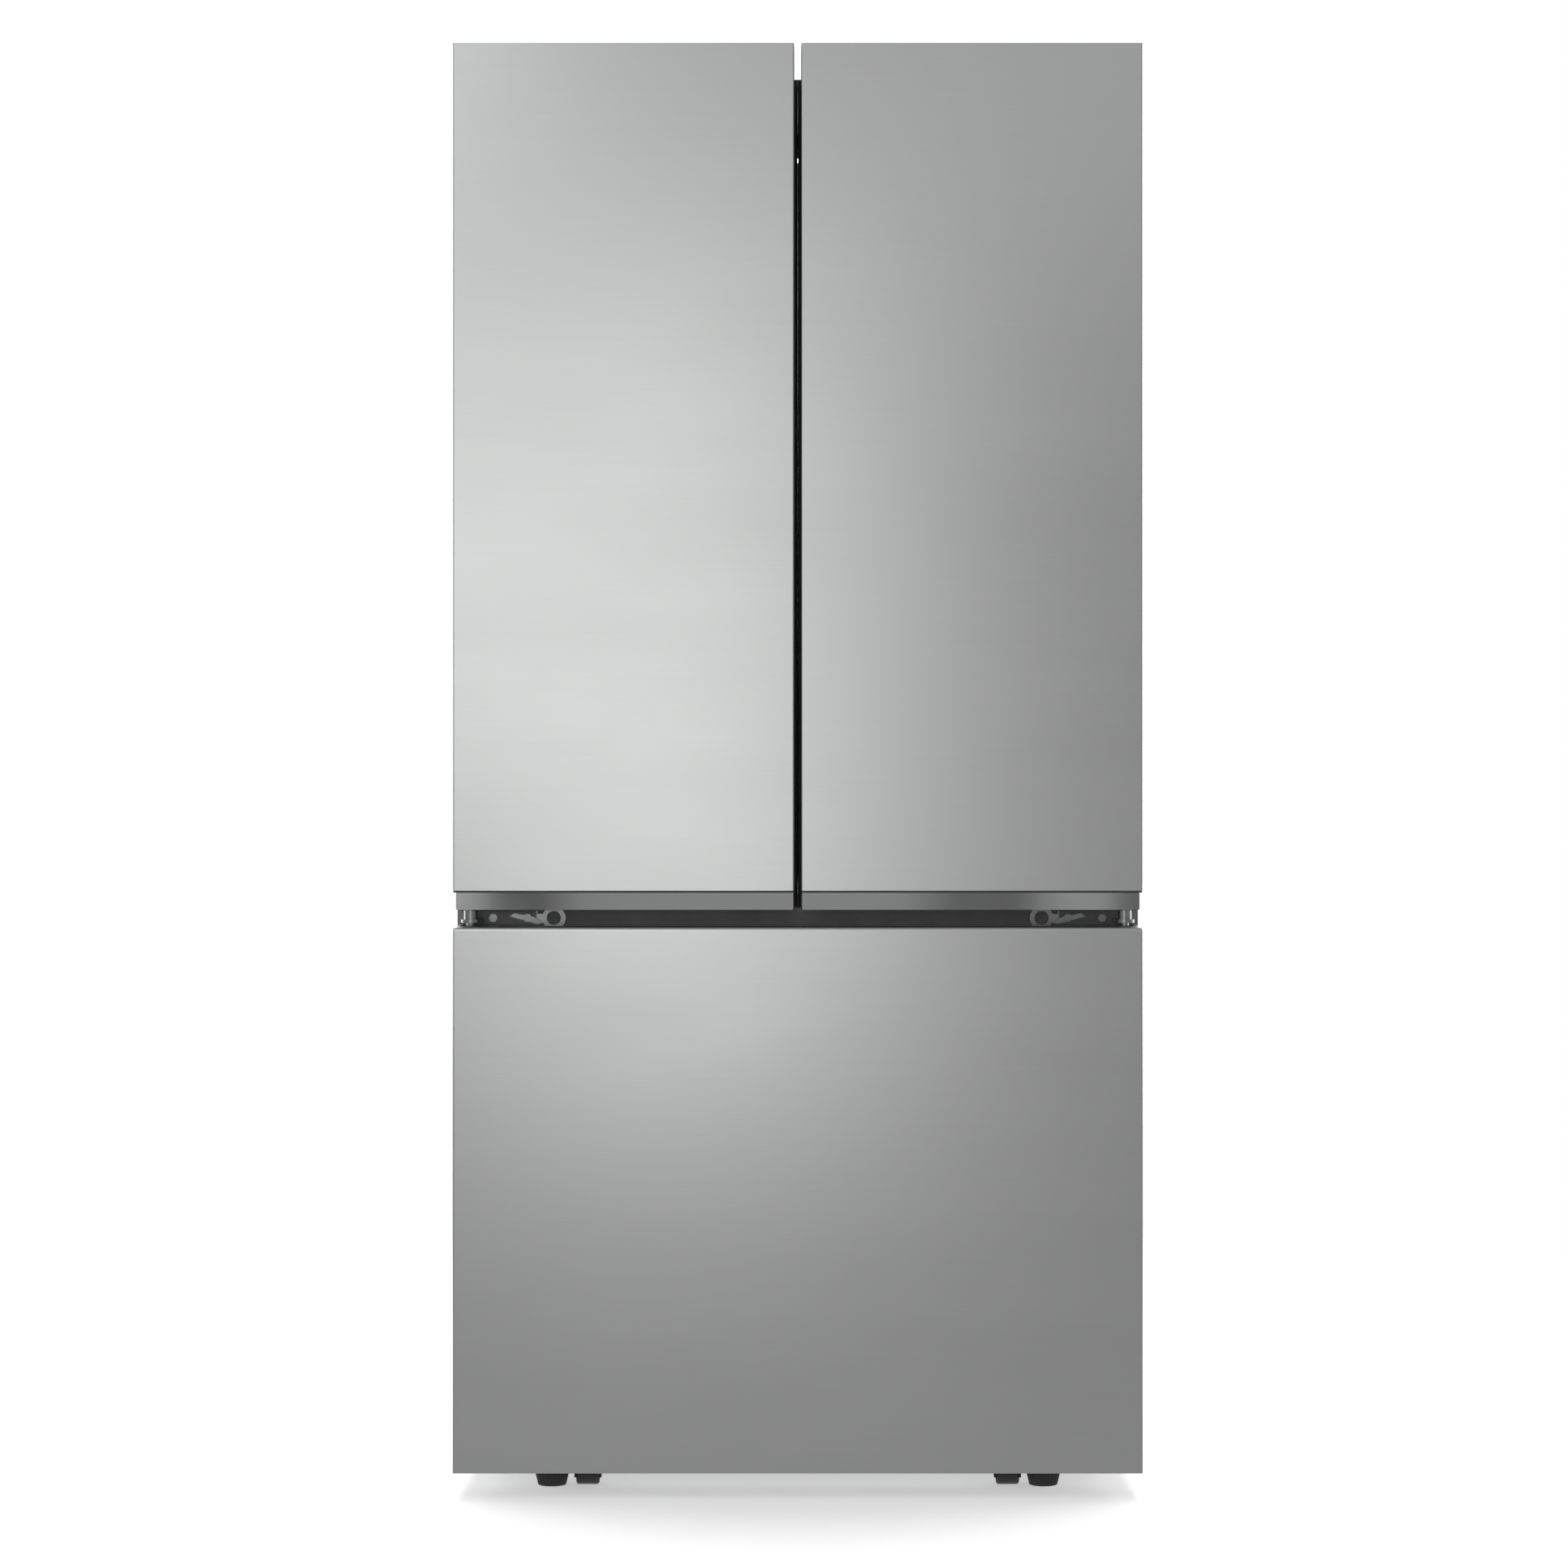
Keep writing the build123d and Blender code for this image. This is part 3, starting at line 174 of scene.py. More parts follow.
def case_paint():
    """Grey textured enamel with the orange peel of a sprayed cabinet."""
    look = Finish("case_paint", (0.2, 0.204, 0.208), 0.42, 0.0, Coat_Weight=0.12, Coat_Roughness=0.35)
    look.bump(look.noise(620.0, detail=2.0), 0.35, 0.00025)
    look.tint(look.noise(900.0, detail=1.0), (0.235, 0.24, 0.245), 0.8)
    look.vary_roughness(look.noise(5.0, detail=4.0), 0.05)
    return look.material


def galvanised():
    """Zinc with its spangle of crystals."""
    look = Finish("galvanised", (0.5, 0.51, 0.52), 0.4, 1.0)
    spangle = look.cells(150.0)
    look.tint(spangle, (0.545, 0.555, 0.565), 1.0)
    look.vary_roughness(spangle, 0.035)
    look.bump(look.noise(260.0), 0.06, 0.0002)
    return look.material


def foam():
    """Poured insulation: open cells, and the uneven yellow of its skin."""
    look = Finish("foam", (0.78, 0.66, 0.38), 0.9)
    look.bump(look.cells(420.0, "SMOOTH_F1"), 0.6, 0.0008)
    look.tint(look.noise(40.0, detail=5.0), (0.66, 0.52, 0.27), 1.0)
    return look.material


def white_liner():
    """Vacuum-formed plastic: glossy, with the slight waviness of forming."""
    look = Finish("white_liner", (0.83, 0.845, 0.85), 0.24, 0.0, Coat_Weight=0.25, Coat_Roughness=0.1)
    look.bump(look.noise(28.0, detail=2.0), 0.12, 0.0008)
    look.bump(look.noise(700.0, detail=1.0), 0.06, 0.0001)
    look.tint(look.noise(6.0, detail=3.0), (0.8, 0.82, 0.83), 0.6)
    look.vary_roughness(look.noise(12.0, detail=3.0), 0.03)
    return look.material


def moulded(name, color, rough=0.45, grain=900.0, depth=0.25, lighter=1.25):
    """Injection-moulded plastic with a spark-eroded grain."""
    look = Finish(name, color, rough)
    look.bump(look.cells(grain, "SMOOTH_F1"), depth, 0.00018)
    other = tuple(min(1.0, channel * lighter) for channel in color)
    look.tint(look.noise(35.0, detail=4.0), other, 0.7)
    look.vary_roughness(look.noise(18.0, detail=3.0), 0.05)
    return look.material


def gasket_rubber():
    """Soft black vinyl."""
    look = Finish("gasket", (0.018, 0.018, 0.019), 0.55)
    look.bump(look.noise(480.0, detail=3.0), 0.25, 0.0002)
    look.tint(look.noise(25.0, detail=4.0), (0.03, 0.03, 0.032), 0.8)
    look.vary_roughness(look.noise(50.0), 0.06)
    return look.material


def zinc_plate(name="hinge_zinc", color=(0.56, 0.57, 0.575), rough=0.23):
    """Bright zinc plating over pressed or turned steel."""
    look = Finish(name, color, rough, 1.0)
    look.bump(look.noise(1400.0, detail=2.0), 0.06, 0.00003)
    look.tint(look.noise(160.0, detail=2.0), tuple(channel * 0.93 for channel in color), 0.8)
    look.vary_roughness(look.noise(120.0, detail=2.0), 0.03)
    return look.material


def black_enamel():
    """Dipped enamel over the compressor's pressed shell."""
    color = (0.018, 0.018, 0.02)
    look = Finish("compressor_black", color, 0.36, 0.0, Coat_Weight=0.4, Coat_Roughness=0.2)
    look.bump(look.noise(210.0, detail=3.0), 0.2, 0.0004)
    look.tint(look.noise(20.0, detail=3.0), (0.035, 0.035, 0.037), 0.8)
    look.vary_roughness(look.noise(12.0, detail=3.0), 0.06)
    return look.material


def coil_aluminium():
    """Tube and fin stock, dulled unevenly by handling."""
    look = Finish("coil_aluminium", (0.66, 0.67, 0.68), 0.36, 1.0)
    look.bump(look.noise(1.0, (30, 1200, 1200), 2.0), 0.12, 0.0001)
    look.tint(look.noise(45.0, detail=4.0), (0.54, 0.55, 0.56), 0.8)
    look.vary_roughness(look.noise(60.0), 0.05)
    return look.material


def shelf_glass():
    """Toughened glass with a faint green cast."""
    look = Finish("shelf_glass", (0.86, 0.95, 0.92), 0.03, 0.0, Transmission_Weight=1.0, IOR=1.45)
    look.vary_roughness(look.noise(14.0, detail=4.0), 0.012)
    look.bump(look.noise(9.0, detail=2.0), 0.03, 0.0003)
    return look.material


def clear_plastic(name, color, rough, clarity):
    """Clear or frosted polystyrene, with faint flow marks from moulding."""
    look = Finish(name, color, rough, 0.0, Transmission_Weight=clarity, IOR=1.5)
    look.bump(look.noise(1.0, (30, 30, 9), 3.0), 0.08, 0.0006)
    look.vary_roughness(look.noise(24.0, detail=4.0), 0.03)
    look.tint(look.noise(12.0, detail=3.0), tuple(channel * 0.94 for channel in color), 0.7)
    return look.material


def lamp_lens():
    """Ribbed diffuser of the ceiling light, lit from behind."""
    look = Finish("light_lens", (0.95, 0.95, 0.93), 0.5, 0.0, Emission_Strength=4.0)
    look.shader.inputs["Emission Color"].default_value = (1.0, 0.97, 0.9, 1)
    look.bump(look.noise(1.0, (420, 30, 30), 1.0), 0.25, 0.0004)
    look.tint(look.noise(8.0), (0.9, 0.91, 0.9), 0.6)
    return look.material


HINGE_PLATE = 0.0036  # how far the painted plate stands out from the rail
HINGE_PLATE_END = 0.319  # from the middle plane to the plate's inner end


def hinge_bracket():
    """Zinc arm, pin, lever and eye on a grey painted plate, told apart by where they are."""
    look = Finish("mid_hinge", (0.36, 0.365, 0.37), 0.34, 1.0)
    look.bump(look.noise(1400.0, detail=2.0), 0.06, 0.00003)
    look.vary_roughness(look.noise(120.0, detail=2.0), 0.03)
    apart = look.tree.nodes.new("ShaderNodeSeparateXYZ")
    look.wire(look.place, apart.inputs[0])
    plate_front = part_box("mullion_rail")[0].y - HINGE_PLATE
    behind = look.remap(apart.outputs["Y"], 0.0, 1.0, (plate_front, plate_front + 0.0001))
    across = look.tree.nodes.new("ShaderNodeMath")
    across.operation = "ABSOLUTE"
    look.wire(apart.outputs["X"], across.inputs[0])
    beside = look.remap(across.outputs[0], 0.0, 1.0, (HINGE_PLATE_END, HINGE_PLATE_END + 0.0005))
    both = look.tree.nodes.new("ShaderNodeMath")
    both.operation = "MULTIPLY"
    look.wire(behind, both.inputs[0])
    look.wire(beside, both.inputs[1])
    paint = look.tree.nodes.new("ShaderNodeMix")
    paint.data_type = "RGBA"
    paint.inputs["A"].default_value = (*look.color, 1)
    paint.inputs["B"].default_value = (0.3, 0.304, 0.308, 1)
    look.wire(both.outputs[0], paint.inputs["Factor"])
    look.wire(paint.outputs["Result"], look.shader.inputs["Base Color"])
    look.wire(look.remap(both.outputs[0], 1.0, 0.0, (0.0, 1.0)), look.shader.inputs["Metallic"])
    return look.material


MATERIALS = {
    "stainless": stainless(),
    "trim_metal": trim_metal(),
    "case_paint": case_paint(),
    "galvanised": galvanised(),
    "foam": foam(),
    "white_liner": white_liner(),
    "dark_cap": moulded("dark_cap", (0.035, 0.036, 0.038), 0.5),
    "charcoal_rail": moulded("charcoal_rail", (0.26, 0.265, 0.262), 0.42, 1400.0, 0.15),
    "gasket": gasket_rubber(),
    "hinge_zinc": zinc_plate(),
    "fastener_steel": zinc_plate("fastener_steel", (0.34, 0.345, 0.35), 0.33),
    "cover_plastic": moulded("cover_plastic", (0.17, 0.172, 0.176), 0.48),
    "black_plastic": moulded("black_plastic", (0.008, 0.008, 0.0085), 0.5),
    "compressor_black": black_enamel(),
    "rubber_black": moulded("rubber_black", (0.015, 0.015, 0.015), 0.7, 300.0, 0.4),
    "coil_aluminium": coil_aluminium(),
    "fan_plastic": moulded("fan_plastic", (0.05, 0.05, 0.053), 0.4),
    "pan_plastic": moulded("pan_plastic", (0.09, 0.09, 0.094), 0.55),
    "cover_board": moulded("cover_board", (0.06, 0.06, 0.06), 0.75, 260.0, 0.5),
    "shelf_glass": shelf_glass(),
    "shelf_metal": moulded("shelf_metal", (0.78, 0.79, 0.795), 0.35, 1500.0, 0.12, 1.06),
    "clear_bin": clear_plastic("clear_bin", (0.88, 0.93, 0.95), 0.08, 0.82),
    "frost_bin": clear_plastic("frost_bin", (0.86, 0.9, 0.92), 0.37, 0.5),
    "light_lens": lamp_lens(),
    "console": moulded("console", (0.16, 0.165, 0.17), 0.2, 1600.0, 0.05),
    "duct_white": moulded("duct_white", (0.8, 0.81, 0.815), 0.38, 1100.0, 0.15, 1.05),
}


WELD_REACH = 1e-6
FLAT_ANGLE = math.radians(0.5)  # faces that turn less are one flat face
SHARP_ANGLE = math.radians(35)  # edges of CAD nodes that turn more are rounded
CREASE_ANGLE = math.radians(32)  # edges of new pieces that turn more stay sharp


def dress_cad_nodes():
    """Give every CAD node the procedural material of its record slot."""
    for part in frame["record"]["subparts"]:
        mesh = NODES[part["node"]].data
        mesh.materials.clear()
        mesh.materials.append(MATERIALS[part["material_slot"]])
    NODES["mid_hinges"].data.materials[0] = hinge_bracket()


def soften(node, width):
    """Round the CAD node's sharp edges a little, as real edges are."""
    target = NODES[node]
    weld = target.modifiers.new("weld", "WELD")
    weld.merge_threshold = WELD_REACH
    flat = target.modifiers.new("flat", "DECIMATE")
    flat.decimate_type = "DISSOLVE"
    flat.angle_limit = FLAT_ANGLE
    bevel = target.modifiers.new("bevel", "BEVEL")
    bevel.width = width
    bevel.segments = 2
    bevel.limit_method = "ANGLE"
    bevel.angle_limit = SHARP_ANGLE
    normals = target.modifiers.new("normals", "WEIGHTED_NORMAL")
    normals.keep_sharp = False


# ------------------------------------------------------------------ mesh tools
CORNER_STEPS = 5  # faces round a quarter turn in plan
EDGE_STEPS = 3  # faces round the edge of a pad
ROUND_STEPS = 24  # faces round a pin or stem
SMALLEST_RADIUS = 1e-5


def span(low, high, side=1):
    """A range given in millimetres, mirrored across the middle plane for side -1."""
    return tuple(sorted((side * low * MM, side * high * MM)))


def grown(rect, by):
    """A rectangle, as two ranges, moved outwards on every side (inwards if by is negative)."""
    return tuple((low - by, high + by) for low, high in rect)


def outline(rect, radius):
    """Points round a rectangle with rounded corners, anticlockwise."""
    (u0, u1), (v0, v1) = rect
    widest = min(u1 - u0, v1 - v0) / 2.01
    radius = max(SMALLEST_RADIUS, min(radius, widest))
    corners = ((u1, v1, 0), (u0, v1, 1), (u0, v0, 2), (u1, v0, 3))
    points = []
    for u, v, quarter in corners:
        centre_u = u - radius if quarter in (0, 3) else u + radius
        centre_v = v - radius if quarter in (0, 1) else v + radius
        for step in range(CORNER_STEPS + 1):
            angle = math.pi / 2 * (quarter + step / CORNER_STEPS)
            points.append((centre_u + radius * math.cos(angle), centre_v + radius * math.sin(angle)))
    return points


def skin(loops, closed=False):
    """Quads between loops of equally many points; the two ends are closed unless it is a ring."""
    count = len(loops[0])
    verts = [point for loop in loops for point in loop]
    faces = []
    pairs = len(loops) if closed else len(loops) - 1
    for row in range(pairs):
        here, there = row * count, (row + 1) % len(loops) * count
        for i in range(count):
            j = (i + 1) % count
            faces.append((here + i, here + j, there + j, there + i))
    if not closed:
        faces.append(tuple(range(count)))
        faces.append(tuple(range(len(verts) - count, len(verts))))
    return verts, faces


def loft(rings, axis="Z", closed=False):
    """Rings are (rectangle, corner radius, level), stacked along Z or along Y."""
    loops = []
    for rect, radius, level in rings:
        flat = outline(rect, radius)
        upright = axis == "Z"
        loops.append([(u, v, level) if upright else (u, level, v) for u, v in flat])
    return skin(loops, closed)


def pad(x, y, z, edge, corner):
    """A box between ranges, its top and bottom edges and its upright corners rounded."""
    rings = []
    for level, way in ((z[0], 1), (z[1], -1)):
        arc = [math.pi / 2 * step / EDGE_STEPS for step in range(EDGE_STEPS + 1)]
        steps = [(edge * (1 - math.sin(a)), level + way * edge * (1 - math.cos(a))) for a in arc]
        rings += steps if way == 1 else steps[::-1]
    return loft([(grown((x, y), -inset), corner, level) for inset, level in rings])


def turned(x, y, profile, steps, lobes=0, depth=0.0):
    """A body turned about a vertical axis from (radius, height) points, fluted if it has lobes."""
    loops = []
    for radius, height in profile:
        loop = []
        for i in range(steps):
            angle = 2 * math.pi * i / steps
            reach = radius - depth * (1 + math.cos(lobes * angle)) / 2 if lobes else radius
            loop.append((x + reach * math.cos(angle), y + reach * math.sin(angle), height))
        loops.append(loop)
    return skin(loops)


def piece(name, parts, slot, body, replaces=()):
    """One named object from several closed parts, in its slot's material, riding on a body."""
    mesh = bpy.data.meshes.new(name)
    build = bmesh.new()
    for verts, faces in parts:
        made = [build.verts.new(point) for point in verts]
        for face in faces:
            build.faces.new([made[i] for i in face])
    bmesh.ops.recalc_face_normals(build, faces=build.faces)
    build.to_mesh(mesh)
    build.free()
    mesh.shade_smooth()
    mesh.set_sharp_from_angle(angle=CREASE_ANGLE)
    mesh.materials.append(MATERIALS[slot])
    made = bpy.data.objects.new(name, mesh)
    bpy.context.scene.collection.objects.link(made)
    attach(made, body)
    if replaces:
        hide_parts(*replaces)
    return made


def carve(target, *boxes):
    """Take boxes, each given by its lowest and highest corners, out of a piece."""
    for low, high in boxes:
        tool_mesh = bpy.data.meshes.new("tool")
        xs, ys, zs = zip(low, high)
        corners = [(x, y, z) for x in xs for y in ys for z in zs]
        sides = [(0, 1, 3, 2), (4, 6, 7, 5), (0, 4, 5, 1), (2, 3, 7, 6), (0, 2, 6, 4), (1, 5, 7, 3)]
        tool_mesh.from_pydata(corners, [], sides)
        tool = bpy.data.objects.new("tool", tool_mesh)
        bpy.context.scene.collection.objects.link(tool)
        cutter = target.modifiers.new("carve", "BOOLEAN")
        cutter.operation, cutter.solver, cutter.object = "DIFFERENCE", "EXACT", tool
        graph = bpy.context.evaluated_depsgraph_get()
        cut_mesh = bpy.data.meshes.new_from_object(target.evaluated_get(graph))
        target.modifiers.remove(cutter)
        target.data = cut_mesh
        bpy.data.objects.remove(tool)
        cut_mesh.set_sharp_from_angle(angle=CREASE_ANGLE)


# ------------------------------------------------------------------ door backs
# Widths are in millimetres from the middle plane, heights in millimetres from the floor.
SHEET = 0.002  # metres, the liner's plastic
PLATE_OUTER, PLATE_INNER = 415.5, 4.7
RIB_OUTER, RIB_INNER, RIB_BOTTOM, RIB_TOP = 357, 46, 750, 1662
SEAT_OUTER, SEAT_INNER, SEAT_WIDTH = 337, 66, 3  # the ledges under the ends of the bins
SEAT_DROP, SEAT_TALL = 2, 12
BIN_HEIGHTS = {"left": (1000, 1200, 1405), "right": (1000, 1220, 1440)}
BIN_RISES = {"left": (95, 95, 90), "right": (95, 95, 95)}
NOTCH_INNER, NOTCH_OUTER, NOTCH_BOTTOM = 384, 420, 1.735  # room for the top hinge's arm, metres up
CLEAR = 0.010  # metres that a cut runs past the edge it opens


def door_rect(side, outer, inner, bottom, top):
    """A rectangle on a door, in millimetres from the middle plane and the floor."""
    return (span(outer, inner, side), (bottom * MM, top * MM))


def door_liner(name, side):
    """Formed door back: a flat margin for the gasket, and a drafted rib frame for the bins."""
    node = f"{name}_door_liner"
    low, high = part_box(node)
    back, face, rise = low.y, low.y + SHEET, high.y - low.y - SHEET
    plate = door_rect(side, PLATE_OUTER, PLATE_INNER, low.z / MM, high.z / MM)
    frame_edge = door_rect(side, RIB_OUTER, RIB_INNER, RIB_BOTTOM, RIB_TOP)
    section = [  # how far out from the rib's outer edge, corner radius, height above the margin
        (0.0015, 0.016, 0.0), (0.0004, 0.015, 0.0012), (0.0, 0.014, 0.004),
        (-0.0022, 0.012, rise - 0.005), (-0.0032, 0.011, rise - 0.002), (-0.0052, 0.010, rise - 0.0004),
        (-0.0075, 0.009, rise), (-0.0125, 0.008, rise), (-0.0148, 0.007, rise - 0.0004),
        (-0.0168, 0.006, rise - 0.002), (-0.0178, 0.006, rise - 0.005),
        (-0.0198, 0.008, 0.004), (-0.0215, 0.009, 0.0008), (-0.0245, 0.011, 0.0),
        (-0.040, 0.02, 0.0), (-0.0415, 0.02, 0.0012), (-0.045, 0.02, 0.0016),
    ]
    rings = [(plate, 0.002, back), (plate, 0.002, face - 0.0006), (grown(plate, -0.0006), 0.002, face)]
    rings += [(grown(frame_edge, out), radius, face + lift) for out, radius, lift in section]
    parts = [loft(rings, "Y")]
    for height in BIN_HEIGHTS[name]:
        z = ((height - SEAT_DROP - SEAT_TALL) * MM, (height - SEAT_DROP) * MM)
        for inner in (SEAT_OUTER - SEAT_WIDTH, SEAT_INNER):
            x = span(inner, inner + SEAT_WIDTH, side)
            parts.append(pad(x, (face + 0.004, high.y - 0.008), z, 0.0008, 0.0014))
    if name == "left":
        parts += flip_lugs(face)
    liner = piece(node + "_formed", parts, "white_liner", f"{name}_door", [node])
    notch_x = span(NOTCH_INNER, NOTCH_OUTER, side)
    notch_low = (notch_x[0], back - CLEAR, NOTCH_BOTTOM)
    notch_high = (notch_x[1], face + 0.001, high.z + CLEAR)
    carve(liner, (notch_low, notch_high))
    return liner


PIVOT_DEPTH = 0.009  # metres from the folded bar's front to its pivot
PIN_RADIUS, PIN_DEPTH = 0.003, 0.012


def flip_lugs(face):
    """The two lugs and pins that carry the flipper bar."""
    bar_low, bar_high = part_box("flip_mullion")
    pivot_x, pivot_y = (bar_low.x + bar_high.x) / 2, bar_low.y + PIVOT_DEPTH
    parts = []
    for level, way in ((bar_low.z, -1), (bar_high.z, 1)):
        lug_x, lug_y = (pivot_x - 0.007, pivot_x + 0.006), (face - 0.0002, pivot_y + 0.006)
        lug_z = tuple(sorted((level + way * 0.0005, level + way * 0.004)))
        parts.append(pad(lug_x, lug_y, lug_z, 0.0006, 0.002))
        tip = level - way * PIN_DEPTH
        shoulder, root = tip + way * 0.0006, level + way * 0.001
        profile = [(PIN_RADIUS - 0.0001, tip), (PIN_RADIUS, shoulder), (PIN_RADIUS, root)]
        parts.append(turned(pivot_x, pivot_y, profile, ROUND_STEPS))
    return parts


GASKET_OUTER, GASKET_INNER, GASKET_BOTTOM, GASKET_TOP = 398, 8, 714, 1712
FIN_INNER, FIN_OUTER, FIN_THICK = 0.4, 12, 0.002
GASKET_CORNER = 0.006  # outer radius of the sealing lips' corners


def gasket(name, outer, body, fin=None):
    """Magnetic gasket: a bellows section swept round the door, with its rounded corners."""
    node = f"{name}_gasket"
    low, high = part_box(node)
    face, crest = low.y, high.y
    section = [
        (0.0, face), (-0.0002, face + 0.0008), (-0.0022, face + 0.0012), (-0.0022, face + 0.0018),
        (-0.0004, face + 0.0022), (0.0, face + 0.003), (-0.0006, crest - 0.0004), (-0.002, crest),
        (-0.0055, crest), (-0.0062, crest - 0.0004), (-0.0098, crest - 0.0004), (-0.0105, crest),
        (-0.014, crest), (-0.0154, crest - 0.0004), (-0.016, face + 0.003), (-0.0156, face + 0.0022),
        (-0.0138, face + 0.0018), (-0.0138, face + 0.0012), (-0.0158, face + 0.0008), (-0.016, face),
    ]
    rings = []
    for inset, level in section:
        radius = max(GASKET_CORNER / 5, GASKET_CORNER + inset / 2)
        rings.append((grown(outer, inset), radius, level))
    parts = [loft(rings, "Y", closed=True)]
    if fin:
        parts.append(pad(*fin, 0.0006, 0.0006))
    return piece(f"{node}_bellows", parts, "gasket", body, [node])


def gaskets():
    """Each door's gasket also has a soft fin that closes the gap between the doors."""
    for name, side in SIDES:
        low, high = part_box(f"{name}_door_gasket")
        rect = door_rect(side, GASKET_OUTER, GASKET_INNER, GASKET_BOTTOM, GASKET_TOP)
        fin = (span(FIN_INNER, FIN_OUTER, side), (low.y, low.y + FIN_THICK), (low.z, high.z))
        gasket(f"{name}_door", rect, f"{name}_door", fin)
    low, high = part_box("freezer_drawer_gasket")
    gasket("freezer_drawer", ((low.x, high.x), (low.z, high.z)), "freezer_drawer")


def drawer_edges():
    """The turned-over edges of the drawer's back, which close the joint with its steel front."""
    low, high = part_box("freezer_drawer_liner")
    depth = (low.y, low.y + SHEET)
    parts = []
    for _, side in SIDES:
        edge = span(PLATE_OUTER - 2, PLATE_OUTER, side)
        parts.append(pad(edge, depth, (low.z, high.z), 0.0004, 0.0005))
    piece("freezer_drawer_liner_edges", parts, "white_liner", "freezer_drawer")


def tub(x, y, bottom, top, wall, corner, draft):
    """An open box with rounded corners, walls that lean in by the draft, and soft edges."""
    rect = (x, y)
    return loft([
        (grown(rect, -draft - 0.004), corner * 0.8, bottom),
        (grown(rect, -draft - 0.0012), corner, bottom + 0.0012),
        (grown(rect, -draft), corner, bottom + 0.004),
        (grown(rect, -0.0002), corner, top - 0.008),
        (rect, corner, top - 0.001),
        (grown(rect, -0.0006), corner, top),
        (grown(rect, -wall + 0.0006), corner, top),
        (grown(rect, -wall), corner, top - 0.001),
        (grown(rect, -draft - wall), corner - wall / 2, bottom + 0.006),
        (grown(rect, -draft - wall - 0.0015), corner - wall, bottom + wall + 0.0015),
        (grown(rect, -draft - wall - 0.006), corner - wall, bottom + wall),
    ])


BIN_WALL, BIN_CORNER, BIN_DRAFT = 0.0024, 0.008, 0.0012
RIB_PLACES = (0.28, 0.5, 0.72)  # of the width, for the ribs on a bin's floor
RIB_WIDTH, RIB_TALL = 0.0016, 0.004
EAR_WIDTH, EAR_DEPTH, EAR_Z = 0.0025, 0.018, (1.49, 1.517)  # the ears that carry the dairy lid


def door_bins(name):
    """Clear bins with ribbed floors; the left door's top bin has ears for the dairy lid."""
    node = f"{name}_door_bins"
    low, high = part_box(node)
    x, y = (low.x, high.x), (low.y, high.y)
    rib_y = (low.y + 0.02, high.y - 0.012)
    parts = []
    for height, rise in zip(BIN_HEIGHTS[name], BIN_RISES[name]):
        bottom, top = height * MM, (height + rise) * MM
        parts.append(tub(x, y, bottom, top, BIN_WALL, BIN_CORNER, BIN_DRAFT))
        rib_z = (bottom + 0.002, bottom + 0.002 + RIB_TALL)
        for place in RIB_PLACES:
            middle = low.x + (high.x - low.x) * place
            rib_x = (middle - RIB_WIDTH / 2, middle + RIB_WIDTH / 2)
            parts.append(pad(rib_x, rib_y, rib_z, 0.0004, 0.0005))
    if name == "left":
        ear_y = (low.y, low.y + EAR_DEPTH)
        for ear_x in ((low.x, low.x + EAR_WIDTH), (high.x - EAR_WIDTH, high.x)):
            parts.append(pad(ear_x, ear_y, EAR_Z, 0.0005, 0.001))
    return piece(f"{node}_moulded", parts, "clear_bin", f"{name}_door", [node])


# ------------------------------------------------------------------ compartments
OPENING = ((-0.361, 0.361), (0.745, 1.668))  # the fridge's mouth, across and up
LINER = 0.0025  # thickness of the fridge's liner
LEDGE_X, LEDGE_Y, LEDGE_Z = (353, 361), (-0.160, 0.290), (0.930, 0.940)


def fridge_liner():
    """The fridge tub with rounded inner corners and ledges for the cover shelf."""
    low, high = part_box("fridge_liner")
    front, flange_back, rear = low.y, low.y + SHEET, high.y - LINER
    flange = ((low.x, high.x), (low.z, high.z))
    rings = [
        (grown(OPENING, LINER), 0.012, high.y),
        (grown(OPENING, LINER), 0.012, flange_back),
        (flange, 0.003, flange_back),
        (flange, 0.003, front),
        (grown(OPENING, 0.004), 0.016, front),
        (grown(OPENING, 0.0012), 0.014, front + 0.0008),
        (OPENING, 0.013, front + 0.003),
        (OPENING, 0.013, rear - 0.016),
        (grown(OPENING, -0.0012), 0.013, rear - 0.010),
        (grown(OPENING, -0.0047), 0.012, rear - 0.0047),
        (grown(OPENING, -0.010), 0.011, rear - 0.0012),
        (grown(OPENING, -0.016), 0.010, rear),
    ]
    parts = [loft(rings, "Y")]
    for _, side in SIDES:
        parts.append(pad(span(*LEDGE_X, side), LEDGE_Y, LEDGE_Z, 0.0015, 0.003))
    piece("fridge_liner_formed", parts, "white_liner", "cabinet", ["fridge_liner"])


LIP_X, LIP_REACH = (80, 320), 0.006  # the crisper's pull lip, and how far it stands out
VENT_MIDDLE, VENT_STEP, VENT_WIDTH = 0.180, 0.026, 0.018
VENT_COUNT, VENT_Z = 4, (0.906, 0.914)


